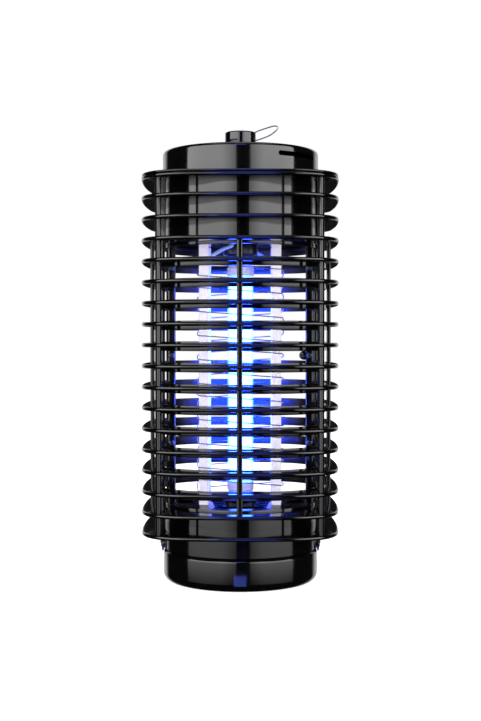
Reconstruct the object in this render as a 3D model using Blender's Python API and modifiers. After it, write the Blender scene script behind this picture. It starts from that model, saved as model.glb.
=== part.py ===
"""Electric bug zapper: a louvred guard round a UV tube and a two-wire killing grid.

Metres, +Z up, front towards -Y.  The origin is on the axis, at the height of the
surface that the lamp stands on.
"""
import bpy
import bmesh
from math import atan2, cos, pi, radians, sin, sqrt, tau
from mathutils import Matrix, Vector

# ---- Clearances -----------------------------------------------------------------
GAP = 0.0003            # between pieces that touch on the real lamp
RUN = 0.0004            # between pieces that turn or slide on each other

# ---- Guard: louvre rings, walls and bars ----------------------------------------
RING_COUNT = 18
RING_PITCH = 0.01102
UPPER_SHELL_RINGS = 4   # rings that are moulded with the closed upper housing
LOWER_SHELL_RINGS = 2   # rings that are moulded with the closed lower collar
FACE_HALF = 0.0530      # axis to the middle of a side
FACE_RADIUS = 0.350     # each side bows out on this radius
CORNER_RADIUS = 0.0250
FIN_T = 0.0022
TOP_FIN_T = 0.0034
HOLE_R = 0.0405         # round wall of the housing and the collar
WALL_DROP = 0.0024      # how far that wall runs past its last ring
LIP_HALF = 0.0454       # axis to the inside of an open ring's lip, in the middle of a side
LIP_POWER = 2.6         # 2 would be a circle, more is squarer
LIP_T = 0.0014
LIP_UP = 0.0018         # above and below the middle of the ring
LIP_DOWN = 0.0030
SHELL_T = 0.0020
LEDGE_W = 0.0020        # inner ledge that a plate rests on
LEDGE_H = 0.0018
FACE_BAR_INSET = 0.0035 # outline to the outer face of a bar in the middle of a side
FACE_BAR_T = 0.0022
FACE_BAR_W = 0.0030
CORNER_BAR_INSET = 0.003523    # outline to the middle of a corner bar
CORNER_BAR_W = 0.0027

# ---- Side columns and their screws ----------------------------------------------
COLUMN_INSET = 0.0008   # round hole to the outer face of a column
COLUMN_T = 0.0038
COLUMN_W = 0.0080
SCREW_RISE = 0.01075    # middle of a column to its middle screw
SCREW_PITCH = 0.0478
SCREW_SHANK_R = 0.0009
SCREW_LENGTH = 0.0055
SCREW_HEAD_R = 0.0017
SCREW_HEAD_H = 0.0011

# ---- Top cap, knob and hanging loop ---------------------------------------------
CAP_PROUD = 0.0019      # how far the cap is wider than the guard's round hole
CAP_T = 0.0020
CAP_H = 0.01526         # above the upper shell
CAP_EDGE_R = 0.0020
SPIGOT_H = 0.0045       # how far the upper shell stands up inside the cap
VENT_H = 0.0025
VENT_DROP = 0.0051      # below the cap's top
VENT_FROM = 30.0        # degrees round from the front, towards the right
VENT_TO = 66.0
VENT_STEPS = 4
KNOB_R = 0.00845
KNOB_H = 0.0112         # above the cap
KNOB_EDGE_R = 0.0008
STEM_R = 0.0030
STEM_L = 0.0080
NUT_ACROSS = 0.0100
NUT_H = 0.0030
NOTCH_W = 0.0018
NOTCH_IN = 0.0014       # axis to the notch's inner end
PIN_X = 0.0054
PIN_DROP = 0.0034       # below the knob's top
PIN_R = 0.0005
PIN_L = 0.0084
LOOP_WIRE_R = 0.00035
LOOP_BEND_R = PIN_R + GAP + LOOP_WIRE_R

# ---- Cord inlet at the back of the cap ------------------------------------------
GROMMET_R = 0.0032
GROMMET_FLANGE_R = 0.0047
GROMMET_FLANGE_T = 0.0012
GROMMET_BORE_R = 0.0019

# ---- Plates ---------------------------------------------------------------------
PLATE_T = 0.0023
STANDOFF_R = 0.0022
STANDOFF_H = 0.0040
STANDOFF_INSET = 0.0040 # board edges to the standoffs
FALL_EDGE = 0.0034      # rim, depth and half angle of the floor's fall-through openings
FALL_DEPTH = 0.0080
FALL_HALF_ANGLE = 24.0

# ---- Driver in the upper housing ------------------------------------------------
BOARD_W = 0.0400
BOARD_CLEAR = 0.0040907 # board corners to the housing's wall
BOARD_T = 0.0016
TRANSFORMER = (0.0200, 0.0170, 0.0150)
CAPACITOR_R = 0.0048
CAPACITOR_H = 0.0140

# ---- Lamp -----------------------------------------------------------------------
TUBE_R = 0.0070
TUBE_FOOT = 0.01108     # floor plate to the tube
TUBE_HEAD = 0.01748     # tube to the ceiling plate
TUBE_CAP_PROUD = 0.0003 # how far the end caps are wider than the tube
TUBE_CAP_H = 0.0060
LAMP_PIN_R = 0.0008
LAMP_PIN_L = 0.0030
LAMP_PIN_X = 0.0030
HOLDER_R = 0.0095
LOWER_HOLDER_R = 0.0092

# ---- Killing grid ---------------------------------------------------------------
POST_W = 0.0050
POST_INSET_X = 0.0211   # guard's round hole to the middle of a post, across and in depth
POST_INSET_Y = 0.0209
WIRE_R = 0.0003
WIRE_LEAD = 0.0125      # rise of one wire in one turn
WIRE_START = 0.0045     # first turn above the floor plate
WIRE_END = 0.0050       # last turn below the ceiling plate
WIRE_CORNER_R = 0.0012
LEAD_R = 0.0010
LEAD_INNER = (-0.0045, -0.0125)
LEAD_DROP = 0.0068      # how far down the post the lead is joined

# ---- Collection tray and its lock ring ------------------------------------------
TRAY_PROUD = 0.0016     # how far the tray is wider than the guard's round hole
TRAY_T = 0.0020
TRAY_TOP_Z = 0.01735
TRAY_RIM_R = 0.0018
TRAY_FOOT_R = 0.0045
LOCK_INSET = 0.0005     # how far the lock ring is narrower than the tray
LOCK_H = 0.01215        # tray to the middle of the lowest ring
LOCK_SKIRT_H = 0.0054   # how far the lock ring reaches into the tray
LOCK_FLOOR_T = 0.00145
CATCH_W = 0.0012        # catch round the neck that carries the lock ring
CATCH_H = 0.0012
NECK_T = 0.0018
GRIP_W = 0.0140
GRIP_PROUD = 0.0018     # how far the grips stand out from the tray
GRIP_TEETH = 3
GRIP_TOOTH_H = 0.0018
GRIP_TOOTH_STEP = 0.0004

# ---- How finely round things are cut --------------------------------------------
ROUND = 32
SMALL_ROUND = 8
FACE_STEPS = 2          # steps along half a side of a ring
CORNER_STEPS = 2        # steps along half a corner of a ring

# ---- Places that follow from the sizes above ------------------------------------
LOWEST_RING_Z = TRAY_TOP_Z + LOCK_H
HIGHEST_RING_Z = LOWEST_RING_Z + (RING_COUNT - 1) * RING_PITCH
SHELL_TOP_Z = HIGHEST_RING_Z + TOP_FIN_T / 2
WALL_BOTTOM_Z = HIGHEST_RING_Z - (UPPER_SHELL_RINGS - 1) * RING_PITCH - WALL_DROP
COLLAR_TOP_Z = LOWEST_RING_Z + (LOWER_SHELL_RINGS - 1) * RING_PITCH + WALL_DROP
SHELL_IN_R = HOLE_R - SHELL_T
PLATE_R = SHELL_IN_R - 2 * GAP
CEILING_Z = WALL_BOTTOM_Z + LEDGE_H + GAP
FLOOR_TOP_Z = COLLAR_TOP_Z
FLOOR_Z = FLOOR_TOP_Z - PLATE_T
NECK_R = SHELL_IN_R - 0.0005
NECK_BOTTOM_Z = TRAY_TOP_Z + GAP + LOCK_FLOOR_T + GAP
LOCK_TOP_Z = LOWEST_RING_Z - FIN_T / 2 - GAP
GROMMET_Z = SHELL_TOP_Z + SPIGOT_H + GROMMET_FLANGE_R + GAP
COLUMN_OUT = HOLE_R - COLUMN_INSET
CAP_R = HOLE_R + CAP_PROUD
CAP_TOP_Z = SHELL_TOP_Z + CAP_H
KNOB_TOP_Z = CAP_TOP_Z + KNOB_H
PIN_Z = KNOB_TOP_Z - PIN_DROP
NOTCH_FLOOR_Z = PIN_Z - LOOP_BEND_R - LOOP_WIRE_R - GAP   # the loop's stop
FALL_OUTER = PLATE_R - FALL_EDGE
FALL_INNER = FALL_OUTER - FALL_DEPTH
BOARD_L = 2 * sqrt((SHELL_IN_R - BOARD_CLEAR) ** 2 - (BOARD_W / 2) ** 2)
STANDOFF_X = BOARD_L / 2 - STANDOFF_INSET
STANDOFF_Y = BOARD_W / 2 - STANDOFF_INSET
POST_X = HOLE_R - POST_INSET_X
POST_Y = HOLE_R - POST_INSET_Y
TUBE_BOTTOM_Z = FLOOR_TOP_Z + TUBE_FOOT
TUBE_TOP_Z = CEILING_Z - TUBE_HEAD
TUBE_CAP_R = TUBE_R + TUBE_CAP_PROUD
TRAY_R = HOLE_R + TRAY_PROUD
LOCK_R = TRAY_R - LOCK_INSET
GRIP_OUT = TRAY_R + GRIP_PROUD

BLACK = (0.012, 0.012, 0.013)
DARK = (0.03, 0.03, 0.032)
WHITE = (0.82, 0.80, 0.84)
GLOW = (0.45, 0.65, 1.0)
STEEL = (0.60, 0.60, 0.62)
GREEN = (0.02, 0.16, 0.07)
YELLOW = (0.75, 0.60, 0.12)


# ---- Scene helpers --------------------------------------------------------------
def clear_scene():
    """Remove whatever the file opened with."""
    for old in list(bpy.data.objects):
        bpy.data.objects.remove(old, do_unlink=True)


def collection(name):
    """A new collection in the scene."""
    group = bpy.data.collections.new(name)
    bpy.context.scene.collection.children.link(group)
    return group


def material(name, colour, roughness=0.3, metallic=0.0):
    """A Principled material of one colour."""
    made = bpy.data.materials.new(name)
    made.use_nodes = True
    shader = made.node_tree.nodes["Principled BSDF"]
    shader.inputs["Base Color"].default_value = (*colour, 1.0)
    shader.inputs["Roughness"].default_value = roughness
    shader.inputs["Metallic"].default_value = metallic
    return made


def add(name, mesh, colour, roughness=0.3, metallic=0.0, at=(0, 0, 0)):
    """A part of the lamp from a mesh."""
    part = bpy.data.objects.new(name, mesh)
    part.location = at
    PARTS.objects.link(part)
    if not mesh.materials:
        mesh.materials.append(material(name + "_finish", colour, roughness, metallic))
    mesh.shade_smooth()
    mesh.set_sharp_from_angle(angle=radians(32))
    return part


def cutter(name, mesh):
    """A guide solid that only cuts or joins."""
    guide = bpy.data.objects.new(name, mesh)
    guide.hide_render = True
    guide.display_type = "WIRE"
    CUTTERS.objects.link(guide)
    return guide


def boolean(part, other, operation="DIFFERENCE"):
    """Cut or join a part with a guide solid."""
    step = part.modifiers.new(operation.lower(), "BOOLEAN")
    step.operation = operation
    step.solver = "EXACT"
    step.object = other


def mesh_from(work, name):
    """Turn a bmesh into a mesh and free it."""
    mesh = bpy.data.meshes.new(name)
    work.to_mesh(mesh)
    work.free()
    return mesh


def add_box(work, size, centre, turn=0.0):
    """Put a box into a bmesh, turned about Z through its own centre."""
    place = Matrix.Translation(centre) @ Matrix.Rotation(turn, 4, "Z") @ Matrix.Diagonal((*size, 1.0))
    bmesh.ops.create_cube(work, size=1.0, matrix=place)


def box_mesh(name, size, centre=(0, 0, 0), turn=0.0):
    """A box as a mesh."""
    work = bmesh.new()
    add_box(work, size, centre, turn)
    return mesh_from(work, name)


def add_rod(work, radius, start, end, sides=SMALL_ROUND):
    """Put a capped cylinder between two points into a bmesh."""
    start, end = Vector(start), Vector(end)
    along = end - start
    place = Matrix.Translation((start + end) / 2) @ along.to_track_quat("Z", "Y").to_matrix().to_4x4()
    bmesh.ops.create_cone(work, cap_ends=True, segments=sides, radius1=radius, radius2=radius,
                          depth=along.length, matrix=place)


def rod_mesh(name, radius, start, end, sides=SMALL_ROUND):
    """A capped cylinder between two points as a mesh."""
    work = bmesh.new()
    add_rod(work, radius, start, end, sides)
    return mesh_from(work, name)


def turned_mesh(name, profile, closed=True, sides=ROUND):
    """Turn a profile of (radius, height) points, outer side downwards, about Z."""
    work = bmesh.new()
    corners = [work.verts.new((r, 0.0, z)) for r, z in profile]
    for first, second in zip(corners, corners[1:]):
        work.edges.new((first, second))
    if closed:
        work.edges.new((corners[-1], corners[0]))
    blank = bpy.data.objects.new(name, mesh_from(work, name))
    CUTTERS.objects.link(blank)
    turn = blank.modifiers.new("turn", "SCREW")
    turn.angle = tau
    turn.steps = turn.render_steps = sides
    turn.use_merge_vertices = True
    turn.merge_threshold = 0.00001
    turn.use_smooth_shade = True
    made = evaluated_mesh(blank, name)
    bpy.data.objects.remove(blank, do_unlink=True)
    return made


def evaluated_mesh(source, name):
    """The mesh that an object's modifiers or curve settings give."""
    graph = bpy.context.evaluated_depsgraph_get()
    made = bpy.data.meshes.new_from_object(source.evaluated_get(graph))
    made.name = name
    return made


def wire(name, points, radius, colour, roughness=0.3, metallic=0.0, cyclic=False):
    """A wire through points, as a curve with a round section."""
    curve = bpy.data.curves.new(name, "CURVE")
    curve.dimensions = "3D"
    curve.bevel_depth = radius
    curve.bevel_resolution = 2
    curve.use_fill_caps = not cyclic
    line = curve.splines.new("POLY")
    line.points.add(len(points) - 1)
    for slot, point in zip(line.points, points):
        slot.co = (*point, 1.0)
    line.use_cyclic_u = cyclic
    curve.materials.append(material(name + "_finish", colour, roughness, metallic))
    part = bpy.data.objects.new(name, curve)
    PARTS.objects.link(part)
    return part


def arc(cx, cz, radius, start, end, steps):
    """Points on an arc in a profile, angles in degrees from +X."""
    angles = [radians(start + (end - start) * i / steps) for i in range(steps + 1)]
    return [(cx + radius * cos(a), cz + radius * sin(a)) for a in angles]


# ---- Guard outline --------------------------------------------------------------
def corner_centre():
    """Distance along X and Y of a corner arc's centre, tangent to both bowed sides."""
    back = FACE_RADIUS - FACE_HALF
    inner = FACE_RADIUS - CORNER_RADIUS
    return (-back + sqrt(back * back - 2 * (back * back - inner * inner))) / 2


def tangent_angle():
    """Angle from a side's middle to where its arc meets the corner arc."""
    back = FACE_RADIUS - FACE_HALF
    centre = corner_centre()
    stretch = FACE_RADIUS / (FACE_RADIUS - CORNER_RADIUS)
    return atan2(centre * stretch, (centre + back) * stretch - back)


def outline_radius(angle):
    """Axis to the rounded-square outline in one direction."""
    off = abs((angle + pi / 4) % (pi / 2) - pi / 4)
    if off <= tangent_angle():
        centre, radius = Vector((FACE_HALF - FACE_RADIUS, 0.0)), FACE_RADIUS
    else:
        centre, radius = Vector((corner_centre(), corner_centre())), CORNER_RADIUS
    ahead = centre.dot(Vector((cos(off), sin(off))))
    return ahead + sqrt(ahead * ahead - centre.length_squared + radius * radius)


def hole_radius(angle):
    """Axis to the inside of an open ring's lip in one direction."""
    return LIP_HALF * (abs(cos(angle)) ** LIP_POWER + abs(sin(angle)) ** LIP_POWER) ** (-1 / LIP_POWER)


def lip_radius(angle):
    """Axis to the outside of an open ring's lip in one direction."""
    return hole_radius(angle) + LIP_T


def station_angles():
    """Directions at which the rings are cut, the same for outline, lip and round wall."""
    edge = tangent_angle()
    half = [edge * i / FACE_STEPS for i in range(FACE_STEPS)]
    half += [edge + (pi / 4 - edge) * i / CORNER_STEPS for i in range(CORNER_STEPS)]
    quarter = half + [pi / 2 - a for a in reversed(half[1:])]
    quarter.insert(len(half), pi / 4)
    return [side * pi / 2 + a for side in range(4) for a in quarter]


def lofted_ring(name, rows):
    """Loft rows of (reach, height) round the axis; a reach is a radius or a function of the direction.

    The rows run down the outer side and back up the inner one.
    """
    work = bmesh.new()
    angles = station_angles()
    loops = []
    for reach, z in rows:
        radii = [reach(a) if callable(reach) else reach for a in angles]
        loops.append([work.verts.new((r * cos(a), r * sin(a), z)) for r, a in zip(radii, angles)])
    for upper, lower in zip(loops, loops[1:] + loops[:1]):
        for i in range(len(angles)):
            j = (i + 1) % len(angles)
            work.faces.new((upper[i], lower[i], lower[j], upper[j]))
    return mesh_from(work, name)


def fin_rows(z, wall, thickness=FIN_T):
    """The four rows of one fin standing out from a wall."""
    top, bottom = z + thickness / 2, z - thickness / 2
    return [(wall, top), (outline_radius, top), (outline_radius, bottom), (wall, bottom)]


def ring_z(number):
    """Height of a ring, counted from the top."""
    return LOWEST_RING_Z + (RING_COUNT - number) * RING_PITCH


# ---- Guard ----------------------------------------------------------------------
def bar_layout():
    """Each bar's name, distance from the axis, direction, section, top and bottom."""
    last_upper = UPPER_SHELL_RINGS
    first_lower = RING_COUNT - LOWER_SHELL_RINGS + 1
    face_top = ring_z(last_upper) - FIN_T / 2
    face_bottom = ring_z(first_lower) + FIN_T / 2
    corner_top = SHELL_TOP_Z - TOP_FIN_T
    corner_bottom = LOWEST_RING_Z + FIN_T / 2
    face_mid = FACE_HALF - FACE_BAR_INSET - FACE_BAR_T / 2
    corner_mid = outline_radius(pi / 4) - CORNER_BAR_INSET
    face = (FACE_BAR_T, FACE_BAR_W)
    corner = (CORNER_BAR_W, CORNER_BAR_W)
    names = ("right", "rear_right", "rear", "rear_left", "left", "front_left", "front", "front_right")
    bars = []
    for i, name in enumerate(names):
        if i % 2 == 0:
            bars.append((name + "_bar", face_mid, i * pi / 4, face, face_top, face_bottom))
        else:
            bars.append((name + "_bar", corner_mid, i * pi / 4, corner, corner_top, corner_bottom))
    return bars


def bar_box(bar, spare):
    """Size, centre and turn of a bar, grown by a clearance on its sides."""
    _, distance, angle, (deep, wide), top, bottom = bar
    size = (deep + 2 * spare, wide + 2 * spare, top - bottom - 2 * GAP + 2 * spare)
    centre = (distance * cos(angle), distance * sin(angle), (top + bottom) / 2)
    return size, centre, angle


def make_guard():
    """Upper and lower shells, the loose rings, and the bars that run through them."""
    slots = bmesh.new()
    for bar in bar_layout():
        add_box(slots, *bar_box(bar, GAP))
        add(bar[0], box_mesh(bar[0], *bar_box(bar, 0.0)), BLACK)
    bar_slots = cutter("bar_slots", mesh_from(slots, "bar_slots"))

    spigot_r = CAP_R - CAP_T - 2 * GAP
    rows = [(spigot_r, SHELL_TOP_Z + SPIGOT_H), (spigot_r, SHELL_TOP_Z), (outline_radius, SHELL_TOP_Z)]
    rows += [(outline_radius, SHELL_TOP_Z - TOP_FIN_T), (HOLE_R, SHELL_TOP_Z - TOP_FIN_T)]
    for number in range(2, UPPER_SHELL_RINGS + 1):
        rows += fin_rows(ring_z(number), HOLE_R)
    ledge = SHELL_IN_R - LEDGE_W
    rows += [(HOLE_R, WALL_BOTTOM_Z), (ledge, WALL_BOTTOM_Z), (ledge, WALL_BOTTOM_Z + LEDGE_H)]
    rows += [(SHELL_IN_R, WALL_BOTTOM_Z + LEDGE_H), (SHELL_IN_R, SHELL_TOP_Z + SPIGOT_H)]
    upper = add("upper_shell", lofted_ring("upper_shell", rows), BLACK)
    boolean(upper, bar_slots)

    first_lower = RING_COUNT - LOWER_SHELL_RINGS + 1
    rows = [(HOLE_R, COLLAR_TOP_Z)]
    for number in range(first_lower, RING_COUNT):
        rows += fin_rows(ring_z(number), HOLE_R)
    rows += fin_rows(LOWEST_RING_Z, HOLE_R)[:3]
    rows += [(NECK_R, LOWEST_RING_Z - FIN_T / 2), (NECK_R, NECK_BOTTOM_Z + CATCH_H)]
    rows += [(NECK_R + CATCH_W, NECK_BOTTOM_Z + CATCH_H), (NECK_R + CATCH_W, NECK_BOTTOM_Z)]
    rows += [(NECK_R - NECK_T, NECK_BOTTOM_Z), (NECK_R - NECK_T, FLOOR_Z - GAP)]
    rows += [(SHELL_IN_R, FLOOR_Z - GAP), (SHELL_IN_R, COLLAR_TOP_Z)]
    lower = add("lower_shell", lofted_ring("lower_shell", rows), BLACK)
    boolean(lower, bar_slots)

    rows = [(lip_radius, LIP_UP)] + fin_rows(0.0, lip_radius)
    rows += [(lip_radius, -LIP_DOWN), (hole_radius, -LIP_DOWN), (hole_radius, LIP_UP)]
    blank = lofted_ring("guard_ring", rows)
    through = bmesh.new()
    for bar in bar_layout():
        (deep, wide, _), (x, y, _), angle = bar_box(bar, GAP)
        add_box(through, (deep, wide, 4 * LIP_DOWN), (x, y, 0.0), angle)
    ring_slots = cutter("ring_slots", mesh_from(through, "ring_slots"))
    work = bpy.data.objects.new("guard_ring_blank", blank)
    PARTS.objects.link(work)
    boolean(work, ring_slots)
    ring = evaluated_mesh(work, "guard_ring")
    bpy.data.objects.remove(work, do_unlink=True)
    bpy.data.objects.remove(ring_slots, do_unlink=True)
    for number in range(UPPER_SHELL_RINGS + 1, first_lower):
        add(f"guard_ring_{number:02d}", ring, BLACK, at=(0, 0, ring_z(number)))


def make_columns():
    """Side columns that hold the two halves of the guard together, and their screws."""
    bottom, top = FLOOR_TOP_Z + GAP, CEILING_Z - LEDGE_H - 2 * GAP
    middle = (bottom + top) / 2
    screw_z = middle + SCREW_RISE
    holes = bmesh.new()
    for side in (-1, 1):
        x = side * (COLUMN_OUT - COLUMN_T / 2)
        for step in (-1, 0, 1):
            z = screw_z + step * SCREW_PITCH
            add_rod(holes, SCREW_SHANK_R + GAP, (x, -COLUMN_W, z), (x, SCREW_LENGTH - COLUMN_W / 2 + GAP, z))
    screw_holes = cutter("screw_holes", mesh_from(holes, "screw_holes"))
    for side, word in ((-1, "left"), (1, "right")):
        x = side * (COLUMN_OUT - COLUMN_T / 2)
        size = (COLUMN_T, COLUMN_W, top - bottom)
        column = add(word + "_column", box_mesh(word + "_column", size, (x, 0, middle)), BLACK)
        boolean(column, screw_holes)
        for step, level in ((-1, "bottom"), (0, "middle"), (1, "top")):
            z = screw_z + step * SCREW_PITCH
            add_screw(f"{word}_{level}_screw", x, -COLUMN_W / 2 - GAP, z)


def add_screw(name, x, seat_y, z):
    """A screw driven towards +Y, its head seated at seat_y."""
    profile = [(0.0, SCREW_HEAD_H), (SCREW_HEAD_R * 0.7, SCREW_HEAD_H), (SCREW_HEAD_R, SCREW_HEAD_H * 0.4)]
    profile += [(SCREW_HEAD_R, 0.0), (SCREW_SHANK_R, 0.0), (SCREW_SHANK_R, -SCREW_LENGTH), (0.0, -SCREW_LENGTH)]
    screw = add(name, turned_mesh(name, profile, closed=False, sides=SMALL_ROUND), STEEL, 0.35, 1.0)
    screw.location = (x, seat_y, z)
    screw.rotation_euler = (pi / 2, 0, 0)


# ---- Top ------------------------------------------------------------------------
def make_cap():
    """Top cap with its vent slot, and the cord inlet at the back."""
    inner, bottom = CAP_R - CAP_T, SHELL_TOP_Z + GAP
    hole = STEM_R + GAP
    profile = [(hole, CAP_TOP_Z)]
    profile += arc(CAP_R - CAP_EDGE_R, CAP_TOP_Z - CAP_EDGE_R, CAP_EDGE_R, 90, 0, 3)
    profile += [(CAP_R, bottom), (inner, bottom), (inner, CAP_TOP_Z - CAP_T), (hole, CAP_TOP_Z - CAP_T)]
    cap = add("top_cap", turned_mesh("top_cap", profile), BLACK)

    vent = bmesh.new()
    z = CAP_TOP_Z - VENT_DROP
    start = radians(VENT_FROM - 90)
    corners = [(inner - CAP_T, z - VENT_H / 2), (CAP_R + CAP_T, z - VENT_H / 2),
               (CAP_R + CAP_T, z + VENT_H / 2), (inner - CAP_T, z + VENT_H / 2)]
    face = vent.faces.new([vent.verts.new((r * cos(start), r * sin(start), h)) for r, h in corners])
    turn = Matrix.Rotation(radians((VENT_TO - VENT_FROM) / VENT_STEPS), 3, "Z")
    grown = [face]
    for step in range(VENT_STEPS):
        region = bmesh.ops.extrude_face_region(vent, geom=grown, use_keep_orig=True)
        if step:
            bmesh.ops.delete(vent, geom=grown, context="FACES_ONLY")
        moved = [v for v in region["geom"] if isinstance(v, bmesh.types.BMVert)]
        bmesh.ops.rotate(vent, verts=moved, cent=(0, 0, 0), matrix=turn)
        grown = [f for f in region["geom"] if isinstance(f, bmesh.types.BMFace)]
    bmesh.ops.recalc_face_normals(vent, faces=vent.faces)
    boolean(cap, cutter("vent_slot", mesh_from(vent, "vent_slot")))

    inlet = rod_mesh("inlet_hole", GROMMET_R + GAP, (0, inner - CAP_T, GROMMET_Z), (0, CAP_R + CAP_T, GROMMET_Z))
    boolean(cap, cutter("inlet_hole", inlet))
    flange = CAP_R + GAP + GROMMET_FLANGE_T
    profile = [(GROMMET_BORE_R, flange), (GROMMET_FLANGE_R * 0.8, flange), (GROMMET_FLANGE_R, CAP_R + GAP * 2)]
    profile += [(GROMMET_FLANGE_R, CAP_R + GAP), (GROMMET_R, CAP_R + GAP), (GROMMET_R, inner - GROMMET_FLANGE_T)]
    profile += [(GROMMET_BORE_R, inner - GROMMET_FLANGE_T)]
    grommet = add("cord_grommet", turned_mesh("cord_grommet", profile, sides=16), DARK, 0.6)
    grommet.rotation_euler = (-pi / 2, 0, 0)
    grommet.location = (0, 0, GROMMET_Z)


def make_knob():
    """Knob with its notch, stem and nut, the loop's cross pin and the wire loop."""
    base = CAP_TOP_Z + GAP
    stem_end = CAP_TOP_Z - STEM_L
    profile = [(0.0, KNOB_TOP_Z)]
    profile += arc(KNOB_R - KNOB_EDGE_R, KNOB_TOP_Z - KNOB_EDGE_R, KNOB_EDGE_R, 90, 0, 2)
    profile += [(KNOB_R, base), (STEM_R, base), (STEM_R, stem_end), (0.0, stem_end)]
    knob = add("cap_knob", turned_mesh("cap_knob", profile, closed=False, sides=24), BLACK)
    notch_l = KNOB_R + GAP - NOTCH_IN
    notch_h = KNOB_TOP_Z + GAP - NOTCH_FLOOR_Z
    centre = (NOTCH_IN + notch_l / 2, 0, NOTCH_FLOOR_Z + notch_h / 2)
    boolean(knob, cutter("loop_notch", box_mesh("loop_notch", (notch_l, NOTCH_W, notch_h), centre)))
    reach = PIN_L / 2 + GAP
    bore = rod_mesh("pin_bore", PIN_R + GAP, (PIN_X, -reach, PIN_Z), (PIN_X, reach, PIN_Z))
    boolean(knob, cutter("pin_bore", bore))
    reach = PIN_L / 2
    add("loop_pin", rod_mesh("loop_pin", PIN_R, (PIN_X, -reach, PIN_Z), (PIN_X, reach, PIN_Z)), STEEL, 0.3, 1.0)

    nut = rod_mesh("knob_nut", NUT_ACROSS / 2 / cos(pi / 6), (0, 0, CAP_TOP_Z - CAP_T - GAP - NUT_H),
                   (0, 0, CAP_TOP_Z - CAP_T - GAP), sides=6)
    nut = add("knob_nut", nut, STEEL, 0.35, 1.0)
    bore = rod_mesh("nut_bore", STEM_R + GAP, (0, 0, stem_end - GAP), (0, 0, CAP_TOP_Z - CAP_T), sides=24)
    boolean(nut, cutter("nut_bore", bore))

    round_pin = arc(PIN_X, PIN_Z, LOOP_BEND_R, 300, 135, 6)
    upper = [(0.0028, 0.0036), (0.0066, 0.0051), (0.0107, 0.0064), (0.0131, 0.0070), (0.0146, 0.0068)]
    lower = [(0.0150, 0.0061), (0.0142, 0.0046), (0.0110, 0.0021), (0.0071, 0.0004), (0.0033, -0.0008)]
    points = [(x, 0.0, z) for x, z in round_pin]
    points += [(PIN_X + x, 0.0, PIN_Z + z) for x, z in upper + lower]
    wire("hanging_loop", points, LOOP_WIRE_R, STEEL, 0.25, 1.0, cyclic=True)


# ---- Inside the upper housing ---------------------------------------------------
def make_driver():
    """Ceiling plate with its standoffs, and the high-voltage driver on it."""
    profile = [(0.0, CEILING_Z + PLATE_T), (PLATE_R, CEILING_Z + PLATE_T), (PLATE_R, CEILING_Z), (0.0, CEILING_Z)]
    ceiling = add("ceiling_plate", turned_mesh("ceiling_plate", profile, closed=False), BLACK)
    stands = bmesh.new()
    for sx in (-1, 1):
        for sy in (-1, 1):
            x, y = sx * STANDOFF_X, sy * STANDOFF_Y
            foot = CEILING_Z + PLATE_T / 2
            add_rod(stands, STANDOFF_R, (x, y, foot), (x, y, CEILING_Z + PLATE_T + STANDOFF_H), 8)
    boolean(ceiling, cutter("standoffs", mesh_from(stands, "standoffs")), "UNION")

    board_z = CEILING_Z + PLATE_T + STANDOFF_H + GAP
    size = (BOARD_L, BOARD_W, BOARD_T)
    add("driver_board", box_mesh("driver_board", size, (0, 0, board_z + BOARD_T / 2)), GREEN, 0.5)
    top = board_z + BOARD_T + GAP
    size = TRANSFORMER
    centre = (-BOARD_L / 4, 0, top + size[2] / 2)
    add("transformer", box_mesh("transformer", size, centre), YELLOW, 0.5)
    for side, word in ((-1, "front"), (1, "rear")):
        x, y = BOARD_L / 5, side * BOARD_W / 5
        name = word + "_capacitor"
        can = rod_mesh(name, CAPACITOR_R, (x, y, top), (x, y, top + CAPACITOR_H), 16)
        add(name, can, DARK, 0.4)


# ---- Lamp -----------------------------------------------------------------------
def make_lamp():
    """UV tube with an end cap and a holder at each end."""
    add("uv_tube", rod_mesh("uv_tube", TUBE_R, (0, 0, TUBE_BOTTOM_Z), (0, 0, TUBE_TOP_Z), 24), GLOW, 0.1)
    ceiling = CEILING_Z - GAP
    for word, end, way, seat, radius in (("upper", TUBE_TOP_Z, 1, ceiling, HOLDER_R),
                                         ("lower", TUBE_BOTTOM_Z, -1, FLOOR_TOP_Z + GAP, LOWER_HOLDER_R)):
        near = end + way * GAP
        far = near + way * TUBE_CAP_H
        tip = far + way * LAMP_PIN_L
        name = word + "_tube_cap"
        cap = add(name, rod_mesh(name, TUBE_CAP_R, (0, 0, near), (0, 0, far), 24), WHITE, 0.3)
        pins = bmesh.new()
        holes = bmesh.new()
        for x in (-LAMP_PIN_X, LAMP_PIN_X):
            add_rod(pins, LAMP_PIN_R, (x, 0, far - way * LAMP_PIN_L / 2), (x, 0, tip), 8)
            add_rod(holes, LAMP_PIN_R + GAP, (x, 0, far), (x, 0, tip + way * GAP), 8)
        boolean(cap, cutter(name + "_pins", mesh_from(pins, name + "_pins")), "UNION")
        name = word + "_lamp_holder"
        start = far + way * GAP
        holder = add(name, rod_mesh(name, radius, (0, 0, start), (0, 0, seat), 24), BLACK)
        boolean(holder, cutter(name + "_holes", mesh_from(holes, name + "_holes")))


# ---- Killing grid ---------------------------------------------------------------
def grid_corner_turn():
    """Half sizes of the wire's rounded-rectangle path, and its length for one turn."""
    off = POST_W / 2 + GAP + WIRE_R
    half_x, half_y = POST_X + off, POST_Y + off
    straight = 4 * (half_x + half_y) - 8 * WIRE_CORNER_R
    return half_x, half_y, straight + tau * WIRE_CORNER_R


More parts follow.
